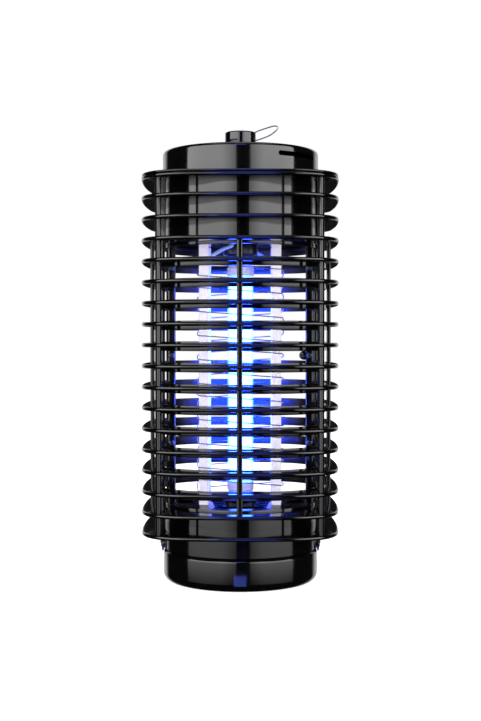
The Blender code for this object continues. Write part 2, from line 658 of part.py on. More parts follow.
def grid_wire_points(first_corner):
    """Points of one wire, wound clockwise round the four posts from bottom to top."""
    half_x, half_y, turn_length = grid_corner_turn()
    inner_x, inner_y = half_x - WIRE_CORNER_R, half_y - WIRE_CORNER_R
    low = FLOOR_TOP_Z + WIRE_START
    high = CEILING_Z - WIRE_END
    bends = int((high - low) / WIRE_LEAD * 4)
    corners = ((1, 1), (-1, 1), (-1, -1), (1, -1))
    plan = []
    for bend in range(bends + 1):
        quarter = (first_corner + bend) % 4
        sx, sy = corners[quarter]
        for i in range(2):
            a = quarter * pi / 2 + (i + 0.5) * pi / 4
            x = -sx * inner_x - WIRE_CORNER_R * cos(a)
            y = sy * inner_y + WIRE_CORNER_R * sin(a)
            plan.append(Vector((x, y)))
    rise = 0.0
    points = [(*plan[0], low)]
    for before, after in zip(plan, plan[1:]):
        rise += (after - before).length * WIRE_LEAD / turn_length
        points.append((*after, low + rise))
    return points


def make_grid():
    """Four insulating posts, the two wires wound on them, and the leads that feed them."""
    bottom, top = FLOOR_TOP_Z + GAP, CEILING_Z - GAP
    for sy, row in ((-1, "front"), (1, "rear")):
        for sx, side in ((-1, "left"), (1, "right")):
            name = f"{row}_{side}_post"
            centre = (sx * POST_X, sy * POST_Y, (bottom + top) / 2)
            add(name, box_mesh(name, (POST_W, POST_W, top - bottom), centre), WHITE, 0.35)
    wire("live_grid_wire", grid_wire_points(0), WIRE_R, STEEL, 0.3, 1.0)
    wire("return_grid_wire", grid_wire_points(2), WIRE_R, STEEL, 0.3, 1.0)
    for turn, name in ((1, "front_grid_lead"), (-1, "rear_grid_lead")):
        inner_x = POST_X - POST_W / 2 - GAP - LEAD_R
        start = (turn * LEAD_INNER[0], turn * LEAD_INNER[1], top)
        bend = (turn * LEAD_INNER[0], turn * LEAD_INNER[1], top - LEAD_R)
        end = (-turn * inner_x, -turn * POST_Y, top - LEAD_DROP)
        wire(name, [start, bend, end], LEAD_R, WHITE, 0.4)


# ---- Base -----------------------------------------------------------------------
def make_floor():
    """Floor plate that carries the grid, with openings that let insects fall through."""
    profile = [(0.0, FLOOR_TOP_Z), (PLATE_R, FLOOR_TOP_Z), (PLATE_R, FLOOR_Z), (0.0, FLOOR_Z)]
    floor = add("floor_plate", turned_mesh("floor_plate", profile, closed=False), BLACK)
    falls = bmesh.new()
    half = radians(FALL_HALF_ANGLE)
    for side in range(4):
        middle = side * pi / 2
        plan = []
        for radius, way in ((FALL_INNER, 1), (FALL_OUTER, -1)):
            for i in range(4):
                a = middle + way * half * (2 * i / 3 - 1)
                plan.append((radius * cos(a), radius * sin(a)))
        face = falls.faces.new([falls.verts.new((x, y, FLOOR_Z - PLATE_T)) for x, y in plan])
        raised = bmesh.ops.extrude_face_region(falls, geom=[face], use_keep_orig=True)
        moved = [v for v in raised["geom"] if isinstance(v, bmesh.types.BMVert)]
        bmesh.ops.translate(falls, verts=moved, vec=(0, 0, 3 * PLATE_T))
    bmesh.ops.recalc_face_normals(falls, faces=falls.faces)
    boolean(floor, cutter("fall_openings", mesh_from(falls, "fall_openings")))


def make_lock_ring():
    """Ring that turns on the neck to lock the tray, with a ribbed grip at each side."""
    tray_in = TRAY_R - TRAY_T
    seat = TRAY_TOP_Z + GAP
    skirt_out = tray_in - RUN
    skirt_in = skirt_out - NECK_T
    catch_r = NECK_R + CATCH_W + RUN
    catch_top = NECK_BOTTOM_Z + CATCH_H + GAP
    profile = [(LOCK_R, LOCK_TOP_Z), (LOCK_R, seat), (skirt_out, seat), (skirt_out, seat - LOCK_SKIRT_H)]
    profile += [(skirt_in, seat - LOCK_SKIRT_H), (skirt_in, seat + LOCK_FLOOR_T), (catch_r, seat + LOCK_FLOOR_T)]
    profile += [(catch_r, catch_top), (NECK_R + RUN, catch_top), (NECK_R + RUN, LOCK_TOP_Z)]
    ring = add("tray_lock_ring", turned_mesh("tray_lock_ring", profile), BLACK)

    inner_low = TRAY_R + GAP
    root = LOCK_R - TRAY_T / 2
    top = seat + GRIP_TEETH * GRIP_TOOTH_H / 2 + GRIP_TOOTH_H / 2
    outline = [(root, top)]
    for tooth in range(GRIP_TEETH):
        crest = GRIP_OUT - tooth * GRIP_TOOTH_STEP
        level = top - tooth * GRIP_TOOTH_H
        outline += [(crest, level), (crest - 2 * GRIP_TOOTH_STEP, level - GRIP_TOOTH_H)]
    outline += [(inner_low, top - GRIP_TEETH * GRIP_TOOTH_H), (inner_low, seat + GAP), (root, seat + GAP)]
    grips = bmesh.new()
    for side in (-1, 1):
        points = [grips.verts.new((side * x, -GRIP_W / 2, z)) for x, z in outline]
        face = grips.faces.new(points)
        raised = bmesh.ops.extrude_face_region(grips, geom=[face], use_keep_orig=True)
        moved = [v for v in raised["geom"] if isinstance(v, bmesh.types.BMVert)]
        bmesh.ops.translate(grips, verts=moved, vec=(0, GRIP_W, 0))
    bmesh.ops.recalc_face_normals(grips, faces=grips.faces)
    boolean(ring, cutter("grips", mesh_from(grips, "grips")), "UNION")


def make_tray():
    """Collection tray, an open cup that the lamp stands on."""
    inner = TRAY_R - TRAY_T
    bevel = 0.0015
    profile = [(0.0, TRAY_T), (inner - bevel, TRAY_T), (inner, TRAY_T + bevel), (inner, TRAY_TOP_Z)]
    profile += arc(TRAY_R - TRAY_RIM_R, TRAY_TOP_Z - TRAY_RIM_R, TRAY_RIM_R, 90, 0, 3)
    profile += arc(TRAY_R - TRAY_FOOT_R, TRAY_FOOT_R, TRAY_FOOT_R, 0, -90, 4)
    profile += [(0.0, 0.0)]
    add("collection_tray", turned_mesh("collection_tray", profile, closed=False), BLACK)


clear_scene()
PARTS = collection("bug_zapper")
CUTTERS = collection("bug_zapper_cutters")
make_guard()
make_columns()
make_cap()
make_knob()
make_driver()
make_lamp()
make_grid()
make_floor()
make_lock_ring()
make_tray()
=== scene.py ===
"""Looks of the electric bug zapper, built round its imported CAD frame.

Each sub-assembly is a class.  Its fields hold the sizes, in metres, and its
methods build the fine meshes, dress them and hang them on the CAD bodies.
"""
import logging
from collections.abc import Callable
from dataclasses import dataclass
from enum import Enum
from math import atan2, cos, pi, radians, sin, sqrt, tau

import bmesh
import bpy
from mathutils import Matrix, Vector


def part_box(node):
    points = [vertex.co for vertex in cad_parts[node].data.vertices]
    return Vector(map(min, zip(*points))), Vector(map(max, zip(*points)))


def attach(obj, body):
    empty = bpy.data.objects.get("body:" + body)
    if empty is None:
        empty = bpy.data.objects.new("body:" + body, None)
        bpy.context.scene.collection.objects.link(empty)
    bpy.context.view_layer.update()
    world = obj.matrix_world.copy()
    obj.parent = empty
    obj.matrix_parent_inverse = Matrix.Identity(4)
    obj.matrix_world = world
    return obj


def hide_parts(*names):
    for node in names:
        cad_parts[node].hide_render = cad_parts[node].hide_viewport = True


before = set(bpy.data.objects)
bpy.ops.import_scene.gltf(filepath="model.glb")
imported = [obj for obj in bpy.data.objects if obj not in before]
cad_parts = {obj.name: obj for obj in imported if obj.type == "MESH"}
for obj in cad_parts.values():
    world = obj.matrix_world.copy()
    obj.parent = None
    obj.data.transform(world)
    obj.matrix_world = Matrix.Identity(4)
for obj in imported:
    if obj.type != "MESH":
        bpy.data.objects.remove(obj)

log = logging.getLogger("bug_zapper")
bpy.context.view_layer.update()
Colour = tuple[float, float, float]
Span = tuple[float, float]
Triple = tuple[float, float, float]
Profile = list[Span]
Mesh = bpy.types.Mesh
Node = bpy.types.Node
Socket = bpy.types.NodeSocket
Tree = bpy.types.NodeTree
Value = Socket | float
GRAIN_SPAN: Span = (0.3, 0.7)   # the middle range of a noise


class Join(Enum):
    """Ways of combining two closed solids."""

    ADD = "UNION"
    CUT = "DIFFERENCE"
    KEEP = "INTERSECT"


# ---- Finishes ----
def new_shader(name: str) -> tuple[bpy.types.Material, Tree, Node]:
    """Start a node material.

    Args:
        name: the material's name.

    Returns:
        The material, its node tree and its Principled shader.
    """
    made = bpy.data.materials.new(name)
    made.use_nodes = True
    tree = made.node_tree
    return made, tree, tree.nodes["Principled BSDF"]


def add_node(tree: Tree, kind: str, inputs: dict | None = None, **settings) -> Node:
    """Add a shader node.

    Args:
        tree: the node tree.
        kind: the node's type, without its ShaderNode prefix.
        inputs: for each input's name or number, a socket to link or a plain value.
        settings: the node's own settings.

    Returns:
        The node.
    """
    node = tree.nodes.new("ShaderNode" + kind)
    for name, value in settings.items():
        setattr(node, name, value)
    fill(tree, node, inputs or {})
    return node


def fill(tree: Tree, node: Node, inputs: dict) -> None:
    """Link sockets to a node's inputs, or give the inputs plain values."""
    for name, value in inputs.items():
        if isinstance(value, Socket):
            tree.links.new(value, node.inputs[name])
        else:
            node.inputs[name].default_value = value


def calculate(tree: Tree, how: str, *values: Value) -> Socket:
    """Do one step of arithmetic on sockets or plain values."""
    return add_node(tree, "Math", dict(enumerate(values)), operation=how).outputs["Value"]


def remap(tree: Tree, value: Value, source: Span, target: Span = (0.0, 1.0),
          smooth: bool = False) -> Socket:
    """Map one range of values to another.

    Args:
        tree: the node tree.
        value: the value to map.
        source: the range that it is mapped from.
        target: the range that it is mapped to.
        smooth: whether the change eases in and out.

    Returns:
        The socket that carries the mapped value.
    """
    inputs = {"Value": value, "From Min": source[0], "From Max": source[1],
              "To Min": target[0], "To Max": target[1]}
    kind = "SMOOTHSTEP" if smooth else "LINEAR"
    return add_node(tree, "MapRange", inputs, interpolation_type=kind).outputs["Result"]


def noise(tree: Tree, scale: float, detail: float = 3.0,
          stretch: Triple = (1.0, 1.0, 1.0)) -> Socket:
    """Add a noise pattern on Object coordinates.

    Args:
        tree: the node tree to add to.
        scale: cells per metre.
        detail: octaves of finer noise.
        stretch: scale of the pattern along each axis.

    Returns:
        The socket that carries the noise.
    """
    place = add_node(tree, "TexCoord").outputs["Object"]
    turned = add_node(tree, "Mapping", {"Vector": place, "Scale": stretch}).outputs["Vector"]
    return add_node(tree, "TexNoise", {"Vector": turned, "Scale": scale, "Detail": detail}).outputs["Fac"]


def two_tone(tree: Tree, grain: Socket, dark: Colour, light: Colour,
             ends: Span = GRAIN_SPAN) -> Socket:
    """Blend two tones by a noise.

    Args:
        tree: the node tree.
        grain: the noise.
        dark: tone where the noise is low.
        light: tone where the noise is high.
        ends: the noise values at which the two tones are reached.

    Returns:
        The socket that carries the colour.
    """
    ramp = add_node(tree, "ValToRGB", {"Fac": grain})
    for stop, end, tone in zip(ramp.color_ramp.elements, ends, (dark, light)):
        stop.position = end
        stop.color = (*tone, 1.0)
    return ramp.outputs["Color"]


@dataclass(frozen=True)
class Moulded:
    """Moulded plastic or rubber: a tone that varies a little, a soft orange peel, and an optional glow that
    is painted light: an emission on a part that is no lamp.
    """

    name: str
    dark: Colour
    light: Colour
    rough: Span
    grain_scale: float = 260.0
    grain_depth: float = 0.000006
    inner_rough: float = 0.0
    inner_from: Span = (-0.3, -0.6)
    # glow is painted light: an emission that brightens a part that is no lamp.
    glow: Colour = (0.0, 0.0, 0.0)
    broad_scale: float = 35.0

    def make(self) -> bpy.types.Material:
        """Build the material."""
        made, tree, shader = new_shader(self.name)
        broad = noise(tree, self.broad_scale, 4.0)
        rough = remap(tree, broad, GRAIN_SPAN, self.rough)
        if self.inner_rough:
            rough = self.rougher_inside(tree, rough)
        peel = {"Height": noise(tree, self.grain_scale, 2.0), "Distance": self.grain_depth}
        fill(tree, shader, {"Base Color": two_tone(tree, broad, self.dark, self.light), "Roughness": rough,
                            "Normal": add_node(tree, "Bump", peel).outputs["Normal"]})
        # Painted light: the glow makes the part emit light though it is no lamp.
        if any(self.glow):
            fill(tree, shader, {"Emission Color": (*self.glow, 1.0), "Emission Strength": 1.0})
        return made

    def rougher_inside(self, tree: Tree, rough: Socket) -> Socket:
        """Make the sides that face the axis duller, as a mould leaves them.

        Args:
            tree: the node tree.
            rough: the roughness of the other sides.

        Returns:
            The socket that carries the roughness of every side.
        """
        place = add_node(tree, "TexCoord")
        level = {0: place.outputs["Object"], 1: (1.0, 1.0, 0.0)}
        flat = add_node(tree, "VectorMath", level, operation="MULTIPLY").outputs["Vector"]
        away = add_node(tree, "VectorMath", {0: flat}, operation="NORMALIZE").outputs["Vector"]
        sides = {0: away, 1: place.outputs["Normal"]}
        facing = add_node(tree, "VectorMath", sides, operation="DOT_PRODUCT").outputs["Value"]
        share = remap(tree, facing, self.inner_from)
        return add_node(tree, "Mix", {"Factor": share, "A": rough, "B": self.inner_rough}).outputs["Result"]


@dataclass(frozen=True)
class Metal:
    """Bright or brushed metal with drawn streaks along one axis."""

    name: str
    colour: Colour
    rough: Span
    streak: Triple = (1.0, 1.0, 0.1)
    grain_scale: float = 1800.0
    darkest: float = 0.85

    def make(self) -> bpy.types.Material:
        """Build the material."""
        made, tree, shader = new_shader(self.name)
        grain = noise(tree, self.grain_scale, 2.0, self.streak)
        darker = tuple(self.darkest * part for part in self.colour)
        fill(tree, shader, {"Metallic": 1.0, "Base Color": two_tone(tree, grain, darker, self.colour),
                            "Roughness": remap(tree, grain, GRAIN_SPAN, self.rough)})
        return made


@dataclass(frozen=True)
class Phosphor:
    """The glowing core of the tube."""

    name: str
    glow: Colour
    strength: float
    cloud_scale: float = 60.0
    dimmest: float = 0.93

    def make(self) -> bpy.types.Material:
        """Build the material."""
        made, tree, shader = new_shader(self.name)
        dimmer = tuple(self.dimmest * part for part in self.glow)
        glow = two_tone(tree, noise(tree, self.cloud_scale), dimmer, self.glow, (0.0, 1.0))
        fill(tree, shader, {"Base Color": (0.9, 0.95, 1.0, 1.0), "Emission Color": glow,
                            "Emission Strength": self.strength})
        return made


@dataclass(frozen=True)
class TubeGlass:
    """The tube's thin glass, lit from within."""

    name: str
    glow: Colour
    cover: float
    haze_scale: float = 40.0

    def make(self) -> bpy.types.Material:
        """Build the material."""
        made, tree, shader = new_shader(self.name)
        haze = noise(tree, self.haze_scale, 2.0)
        fill(tree, shader, {"Base Color": (0.5, 0.8, 1.0, 1.0), "Roughness": 0.05,
                            "Emission Color": (*self.glow, 1.0), "Emission Strength": 1.0,
                            "Alpha": remap(tree, haze, GRAIN_SPAN, (self.cover * 0.9, self.cover * 1.1))})
        return made


BLACK_TONES: tuple[Colour, Colour] = ((0.0008, 0.0008, 0.0010), (0.0014, 0.0014, 0.0016))
BLACK_GLOSS = Moulded("black_gloss", *BLACK_TONES, (0.06, 0.12))
GUARD_GLOSS = Moulded("guard_gloss", *BLACK_TONES, (0.06, 0.12), inner_rough=0.34)
BLACK_SATIN = Moulded("black_satin", (0.004, 0.004, 0.005), (0.008, 0.008, 0.009), (0.25, 0.36))
# The posts' glow is painted light: an emission that brightens the white plastic, standing in for more light
# falling on the posts.
WHITE_SATIN_PAINTED_GLOW = Moulded("white_satin_painted_glow", (0.86, 0.82, 0.88), (0.92, 0.88, 0.94), (0.28, 0.42),
                      glow=(0.30, 0.28, 0.34))
WHITE_CERAMIC = Moulded("white_ceramic", (0.80, 0.78, 0.80), (0.88, 0.86, 0.88), (0.18, 0.30))
RUBBER = Moulded("black_rubber", (0.018, 0.018, 0.019), (0.030, 0.030, 0.031), (0.55, 0.7), 900.0, 0.00004)
LEAD_JACKET = Moulded("lead_jacket", (0.55, 0.75, 0.85), (0.68, 0.88, 0.95), (0.3, 0.45))
SOLDER_MASK = Moulded("solder_mask", (0.012, 0.12, 0.05), (0.02, 0.19, 0.08), (0.3, 0.45))
WINDING_TAPE = Moulded("winding_tape", (0.62, 0.46, 0.08), (0.78, 0.60, 0.14), (0.4, 0.55))
SLEEVE = Moulded("capacitor_sleeve", (0.02, 0.02, 0.03), (0.04, 0.04, 0.05), (0.3, 0.45))
GRID_STEEL = Metal("grid_steel", (0.34, 0.35, 0.37), (0.22, 0.36))
BRIGHT_ZINC = Metal("bright_zinc", (0.70, 0.70, 0.72), (0.20, 0.35), (1.0, 1.0, 1.0))
BLACKED_STEEL = Metal("blacked_steel", (0.10, 0.10, 0.11), (0.22, 0.36), (1.0, 1.0, 1.0))
LOOP_STEEL = Metal("loop_steel", (0.22, 0.22, 0.23), (0.20, 0.32), (1.0, 1.0, 1.0))
PHOSPHOR = Phosphor("lamp_phosphor", (0.010, 0.045, 1.0), 150.0)
TUBE_GLASS = TubeGlass("lamp_glass", (0.12, 0.62, 1.0), 0.45)
Finish = Moulded | Metal | Phosphor | TubeGlass

_made: dict[str, bpy.types.Material] = {}


def finish_of(finish: Finish) -> bpy.types.Material:
    """Give a finish's material, built once."""
    if finish.name not in _made:
        _made[finish.name] = finish.make()
    return _made[finish.name]


# ---- Workshop: solids from bmesh operators ----
def to_mesh(work: bmesh.types.BMesh, name: str) -> Mesh:
    """Close a bmesh into a mesh with outward faces."""
    bmesh.ops.recalc_face_normals(work, faces=work.faces)
    made = bpy.data.meshes.new(name)
    work.to_mesh(made)
    work.free()
    return made


def soften(work: bmesh.types.BMesh, offset: float, segments: int = 2, over: float = 30.0) -> None:
    """Bevel every edge that is sharper than an angle.

    Args:
        work: the bmesh to soften.
        offset: width of the bevel in metres.
        segments: faces across the bevel.
        over: angle in degrees above which an edge is bevelled.
    """
    work.normal_update()
    sharp = [e for e in work.edges if len(e.link_faces) == 2 and e.calc_face_angle(0.0) > radians(over)]
    bmesh.ops.bevel(work, geom=sharp, offset=offset, offset_type="OFFSET", segments=segments,
                    profile=0.5, affect="EDGES", material=-1, clamp_overlap=True)


def push(work: bmesh.types.BMesh, faces: list[bmesh.types.BMFace], offset: Triple) -> None:
    """Thicken flat faces into a solid by pushing a copy of them along an offset."""
    raised = bmesh.ops.extrude_face_region(work, geom=faces, use_keep_orig=True)
    moved = [v for v in raised["geom"] if isinstance(v, bmesh.types.BMVert)]
    bmesh.ops.translate(work, verts=moved, vec=offset)
    bmesh.ops.recalc_face_normals(work, faces=work.faces)


def lathe(name: str, profile: Profile, steps: int = 128, closed: bool = True,
          edge: float = 0.0, segments: int = 2) -> Mesh:
    """Turn a profile of (radius, height) points about Z.

    Args:
        name: the mesh's name.
        profile: points of the section.
        steps: facets round the turn.
        closed: whether the section closes on itself, and doesn't start on the axis.
        edge: width of the bevel on sharp edges.
        segments: faces across that bevel.

    Returns:
        The turned mesh.
    """
    work = bmesh.new()
    corners = [work.verts.new((r, 0.0, z)) for r, z in profile]
    pairs = list(zip(corners, corners[1:]))
    if closed:
        pairs.append((corners[-1], corners[0]))
    for first, second in pairs:
        work.edges.new((first, second))
    bmesh.ops.spin(work, geom=work.verts[:] + work.edges[:], cent=(0, 0, 0), axis=(0, 0, 1),
                   dvec=(0, 0, 0), angle=tau, steps=steps, use_merge=True, use_duplicate=False)
    bmesh.ops.remove_doubles(work, verts=work.verts, dist=0.000001)
    bmesh.ops.recalc_face_normals(work, faces=work.faces)
    if edge:
        soften(work, edge, segments)
    return to_mesh(work, name)


def rounded_box(name: str, low: Vector, high: Vector, edge: float, segments: int = 3,
                turn: float = 0.0) -> Mesh:
    """Make a box between two corners with rounded edges.

    Args:
        name: the mesh's name.
        low: lowest corner.
        high: highest corner.
        edge: radius of the edges.
        segments: faces across an edge.
        turn: angle about Z through the box's centre.

    Returns:
        The box.
    """
    work = bmesh.new()
    size, centre = high - low, (low + high) / 2
    place = Matrix.Translation(centre) @ Matrix.Rotation(turn, 4, "Z") @ Matrix.Diagonal((*size, 1.0))
    bmesh.ops.create_cube(work, size=1.0, matrix=place)
    soften(work, edge, segments)
    return to_mesh(work, name)


def rod(name: str, radius: float, start: Vector, end: Vector, sides: int = 32,
        edge: float = 0.0) -> Mesh:
    """Make a capped cylinder between two points.

    Args:
        name: the mesh's name.
        radius: the cylinder's radius.
        start: centre of one end.
        end: centre of the other end.
        sides: facets round it.
        edge: width of the bevel round its ends.

    Returns:
        The cylinder.
    """
    work = bmesh.new()
    start, end = Vector(start), Vector(end)
    along = end - start
    place = Matrix.Translation((start + end) / 2) @ along.to_track_quat("Z", "Y").to_matrix().to_4x4()
    bmesh.ops.create_cone(work, cap_ends=True, segments=sides, radius1=radius, radius2=radius,
                          depth=along.length, matrix=place)
    if edge:
        soften(work, edge)
    return to_mesh(work, name)


def combine(base: Mesh, others: list[Mesh], how: Join, name: str) -> Mesh:
    """Add, cut or keep closed solids one after another.

    Args:
        base: the solid to start from.
        others: the solids to combine with it.
        how: the kind of combination.
        name: the result's name.

    Returns:
        The resulting mesh.
    """
    helpers = [bpy.data.objects.new("helper", mesh) for mesh in [base, *others]]
    for helper in helpers:
        bpy.context.scene.collection.objects.link(helper)
    for other in helpers[1:]:
        step = helpers[0].modifiers.new("join", "BOOLEAN")
        step.operation = how.value
        step.solver = "MANIFOLD"
        step.object = other
    graph = bpy.context.evaluated_depsgraph_get()
    made = bpy.data.meshes.new_from_object(helpers[0].evaluated_get(graph))
    made.name = name
    for helper in helpers:
        bpy.data.objects.remove(helper, do_unlink=True)
    return made


def place_piece(name: str, mesh: Mesh, finish: Finish, body: str,
                stands_for: tuple[str, ...] = (), sharp: float = 32.0) -> bpy.types.Object:
    """Put a finished mesh into the scene on a body.

    Args:
        name: the piece's name.
        mesh: its mesh, in the row frame.
        finish: its finish.
        body: the CAD body that it rides on.
        stands_for: the CAD nodes that it replaces.
        sharp: angle in degrees above which an edge stays sharp.

    Returns:
        The object.
    """
    mesh.materials.clear()
    mesh.materials.append(finish_of(finish))
    mesh.shade_smooth()
    mesh.set_sharp_from_angle(angle=radians(sharp))
    piece = bpy.data.objects.new(name, mesh)
    bpy.context.scene.collection.objects.link(piece)
    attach(piece, body)
    if stands_for:
        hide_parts(*stands_for)
    log.info("%s: %d faces on %s", name, len(mesh.polygons), body)
    return piece


def wire_piece(name: str, points: list[Vector], radius: float, finish: Finish, body: str,
               stands_for: tuple[str, ...], closed: bool = False) -> bpy.types.Object:
    """Lay a round wire through points.

    Args:
        name: the piece's name.
        points: its centre line.
        radius: the wire's radius.
        finish: its finish.
        body: the CAD body that it rides on.
        stands_for: the CAD nodes that it replaces.
        closed: whether the wire is a loop.

    Returns:
        The object.
    """
    curve = bpy.data.curves.new(name, "CURVE")
    curve.dimensions = "3D"
    curve.bevel_depth = radius
    curve.bevel_resolution = 3
    curve.use_fill_caps = not closed
    line = curve.splines.new("POLY")
    line.points.add(len(points) - 1)
    for knot, point in zip(line.points, points):
        knot.co = (*point, 1.0)
    line.use_cyclic_u = closed
    work = bpy.data.objects.new(name + "_line", curve)
    bpy.context.scene.collection.objects.link(work)
    graph = bpy.context.evaluated_depsgraph_get()
    mesh = bpy.data.meshes.new_from_object(work.evaluated_get(graph))
    bpy.data.objects.remove(work, do_unlink=True)
    solid = bmesh.new()
    solid.from_mesh(mesh)
    bmesh.ops.remove_doubles(solid, verts=solid.verts, dist=0.000001)
    return place_piece(name, to_mesh(solid, name), finish, body, stands_for, 50.0)


def arc(cx: float, cz: float, radius: float, start: float, end: float, steps: int) -> Profile:
    """Give points on an arc in a profile, angles in degrees from +X."""
    angles = [radians(start + (end - start) * i / steps) for i in range(steps + 1)]
    return [(cx + radius * cos(a), cz + radius * sin(a)) for a in angles]


def smooth_line(points: list[Vector], steps: int, closed: bool = False) -> list[Vector]:
    """Run a Catmull-Rom curve through points.

    Args:
        points: the points to pass through.
        steps: pieces between one point and the next.
        closed: whether the curve returns to its start.

    Returns:
        The finer points.
    """
    count = len(points)
    spans = count if closed else count - 1
    fine = []
    for i in range(spans):
        if closed:
            a, b, c, d = (points[(i + k) % count] for k in (-1, 0, 1, 2))
        else:
            b, c = points[i], points[i + 1]
            a = points[i - 1] if i else b + (b - c)
            d = points[i + 2] if i + 2 < count else c + (c - b)
        for k in range(steps):
            t = k / steps
            fine.append(0.5 * ((2 * b) + (c - a) * t + (2 * a - 5 * b + 4 * c - d) * t * t
                               + (3 * b - a - 3 * c + d) * t * t * t))
    if not closed:
        fine.append(points[-1].copy())
    return fine


# ---- Guard ----
BAR_NAMES = ("right", "rear_right", "rear", "rear_left", "left", "front_left", "front", "front_right")


@dataclass
class Guard:
    """The two guard mouldings: louvre rings, walls, bars and side columns."""

    face_half: float = 0.0530
    face_radius: float = 0.350
    corner_radius: float = 0.0250
    hole_r: float = 0.0405
    lip_half: float = 0.0454
    lip_power: float = 2.6
    lip_t: float = 0.0014
    lip_up: float = 0.0018
    wall_t: float = 0.0020
    fin_t: float = 0.0022
    nose: float = 0.00105
    seam: float = 0.00012
    first_open: int = 5
    last_open: int = 16
    ring_count: int = 18
    face_bar: Triple = (0.0484, 0.0022, 0.0030)
    corner_bar: Triple = (0.0595, 0.0027, 0.0027)
    ring_steps: int = 160
    rim_depth: float = 0.001
    lip_edge: float = 0.0003
    bar_edge: float = 0.0006
    gap: float = 0.0003
    top_t: float = 0.0034
    top_rim: float = 0.0012
    top_groove: float = 0.0001
    top_inset: float = 0.0002
    wall_share: float = 0.55
    spigot_inset: float = 0.0026
    skirt: float = 0.0022
    skirt_from: float = 0.012
    ledge_w: float = 0.0020
    ledge_h: float = 0.0018
    neck_inset: float = 0.0005
    neck_t: float = 0.0018
    neck_edge: float = 0.0002
    catch: float = 0.0012
    column_sunk: float = 0.0012
    column_edge: float = 0.0005
    fill_proud: float = 0.0003
    web_root: float = 0.001
    boss_edge: float = 0.0004
    rail: Triple = (0.0415, 0.0437, 0.0020)
    boss: Triple = (0.0348, 0.00245, 0.1229)

    def lip(self, angle: float) -> float:
        """Distance from the axis to the inside of an open ring's lip in one direction."""
        power = self.lip_power
        return self.lip_half * (abs(cos(angle)) ** power + abs(sin(angle)) ** power) ** (-1 / power)

    def ring_z(self, number: int) -> float:
        """Height of a ring's fin, counted from the top, from two of the CAD rings."""
        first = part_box(f"guard_ring_{self.first_open:02d}")[1].z - self.lip_up
        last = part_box(f"guard_ring_{self.last_open:02d}")[1].z - self.lip_up
        pitch = (first - last) / (self.last_open - self.first_open)
        return first - (number - self.first_open) * pitch

    def corner_centre(self) -> float:
        """Distance along X and Y of a corner arc's centre."""
        back = self.face_radius - self.face_half
        inner = self.face_radius - self.corner_radius
        return (-back + sqrt(back * back - 2 * (back * back - inner * inner))) / 2

    def outline(self, angle: float) -> float:
        """Distance from the axis to the outline in one direction."""
        off = abs((angle + pi / 4) % (pi / 2) - pi / 4)
        back, middle = self.face_radius - self.face_half, self.corner_centre()
        reach = self.face_radius / (self.face_radius - self.corner_radius)
        edge = atan2(middle * reach, (middle + back) * reach - back)
        if off <= edge:
            centre, radius = Vector((-back, 0.0)), self.face_radius
        else:
            centre, radius = Vector((middle, middle)), self.corner_radius
        ahead = centre.dot(Vector((cos(off), sin(off))))
        return ahead + sqrt(ahead * ahead - centre.length_squared + radius * radius)

    def loop(self, work: bmesh.types.BMesh, reach: Callable[[float], float],
             z: float) -> list[bmesh.types.BMVert]:
        """Put a loop of points round the axis into a bmesh.

        Args:
            work: the bmesh.
            reach: gives the distance from the axis in one direction.
            z: the loop's height.

        Returns:
            The loop's points.
        """
        turns = [tau * i / self.ring_steps for i in range(self.ring_steps)]
        return [work.verts.new((reach(a) * cos(a), reach(a) * sin(a), z)) for a in turns]

    def plate(self, bottom: float, top: float, inset: float = 0.0, lipped: bool = False) -> Mesh:
        """Make one fin: a flat plate with a hole and a rounded outer edge.

        Args:
            bottom: height of its lower face.
            top: height of its upper face.
            inset: how far its outline lies inside the guard's.
            lipped: whether its hole follows a lip, and not the round wall.

        Returns:
            The plate.
        """
        work = bmesh.new()
        hole = self.lip if lipped else lambda a: self.hole_r
        edges = []
        for reach in (lambda a: self.outline(a) - inset, lambda a: hole(a) + self.lip_t / 2):
            ring = self.loop(work, reach, bottom)
            edges += [work.edges.new(pair) for pair in zip(ring, ring[1:] + ring[:1])]
        bmesh.ops.bridge_loops(work, edges=edges)
        push(work, work.faces[:], (0, 0, top - bottom))
        rim = [e for e in work.edges
               if len(e.link_faces) == 2 and e.calc_face_angle(0.0) > radians(60)
               and e.verts[0].co.xy.length > self.face_half - inset - self.rim_depth]
        nose = min(self.nose, (top - bottom) * 0.48)
        bmesh.ops.bevel(work, geom=rim, offset=nose, offset_type="OFFSET", segments=4, profile=0.5,
                        affect="EDGES", material=-1, clamp_overlap=True)
        return to_mesh(work, "plate")

    def lip_wall(self, bottom: float, top: float) -> Mesh:
        """Make the squarish lip of one open ring between two heights."""
        work = bmesh.new()
        rows = ((0.0, bottom), (self.lip_t, bottom), (self.lip_t, top), (0.0, top))
        loops = [self.loop(work, lambda a: self.lip(a) + grow, z) for grow, z in rows]
        for lower, upper in zip(loops, loops[1:] + loops[:1]):
            for i in range(self.ring_steps):
                j = (i + 1) % self.ring_steps
                work.faces.new((lower[i], lower[j], upper[j], upper[i]))
        bmesh.ops.recalc_face_normals(work, faces=work.faces)
        soften(work, self.lip_edge)
        return to_mesh(work, "lip")

    def wall(self, inner: float, outer: float, bottom: float, top: float, edge: float = 0.0003) -> Mesh:
        """Make a round wall with softened edges."""
        profile = [(inner, bottom), (outer, bottom), (outer, top), (inner, top)]
        return lathe("wall", profile, self.ring_steps, True, edge)

    def bars(self) -> list[Mesh]:
        """Make the eight bars that tie the rings."""
        made = []
        for i, name in enumerate(BAR_NAMES):
            distance, deep, wide = self.corner_bar if i % 2 else self.face_bar
            low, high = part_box(name + "_bar")
            a = i * pi / 4
            centre = Vector((distance * cos(a), distance * sin(a), (low.z + high.z) / 2))
            half = Vector((deep, wide, high.z - low.z + self.fin_t)) / 2
            made.append(rounded_box("bar", centre - half, centre + half, self.bar_edge, 3, a))
        return made

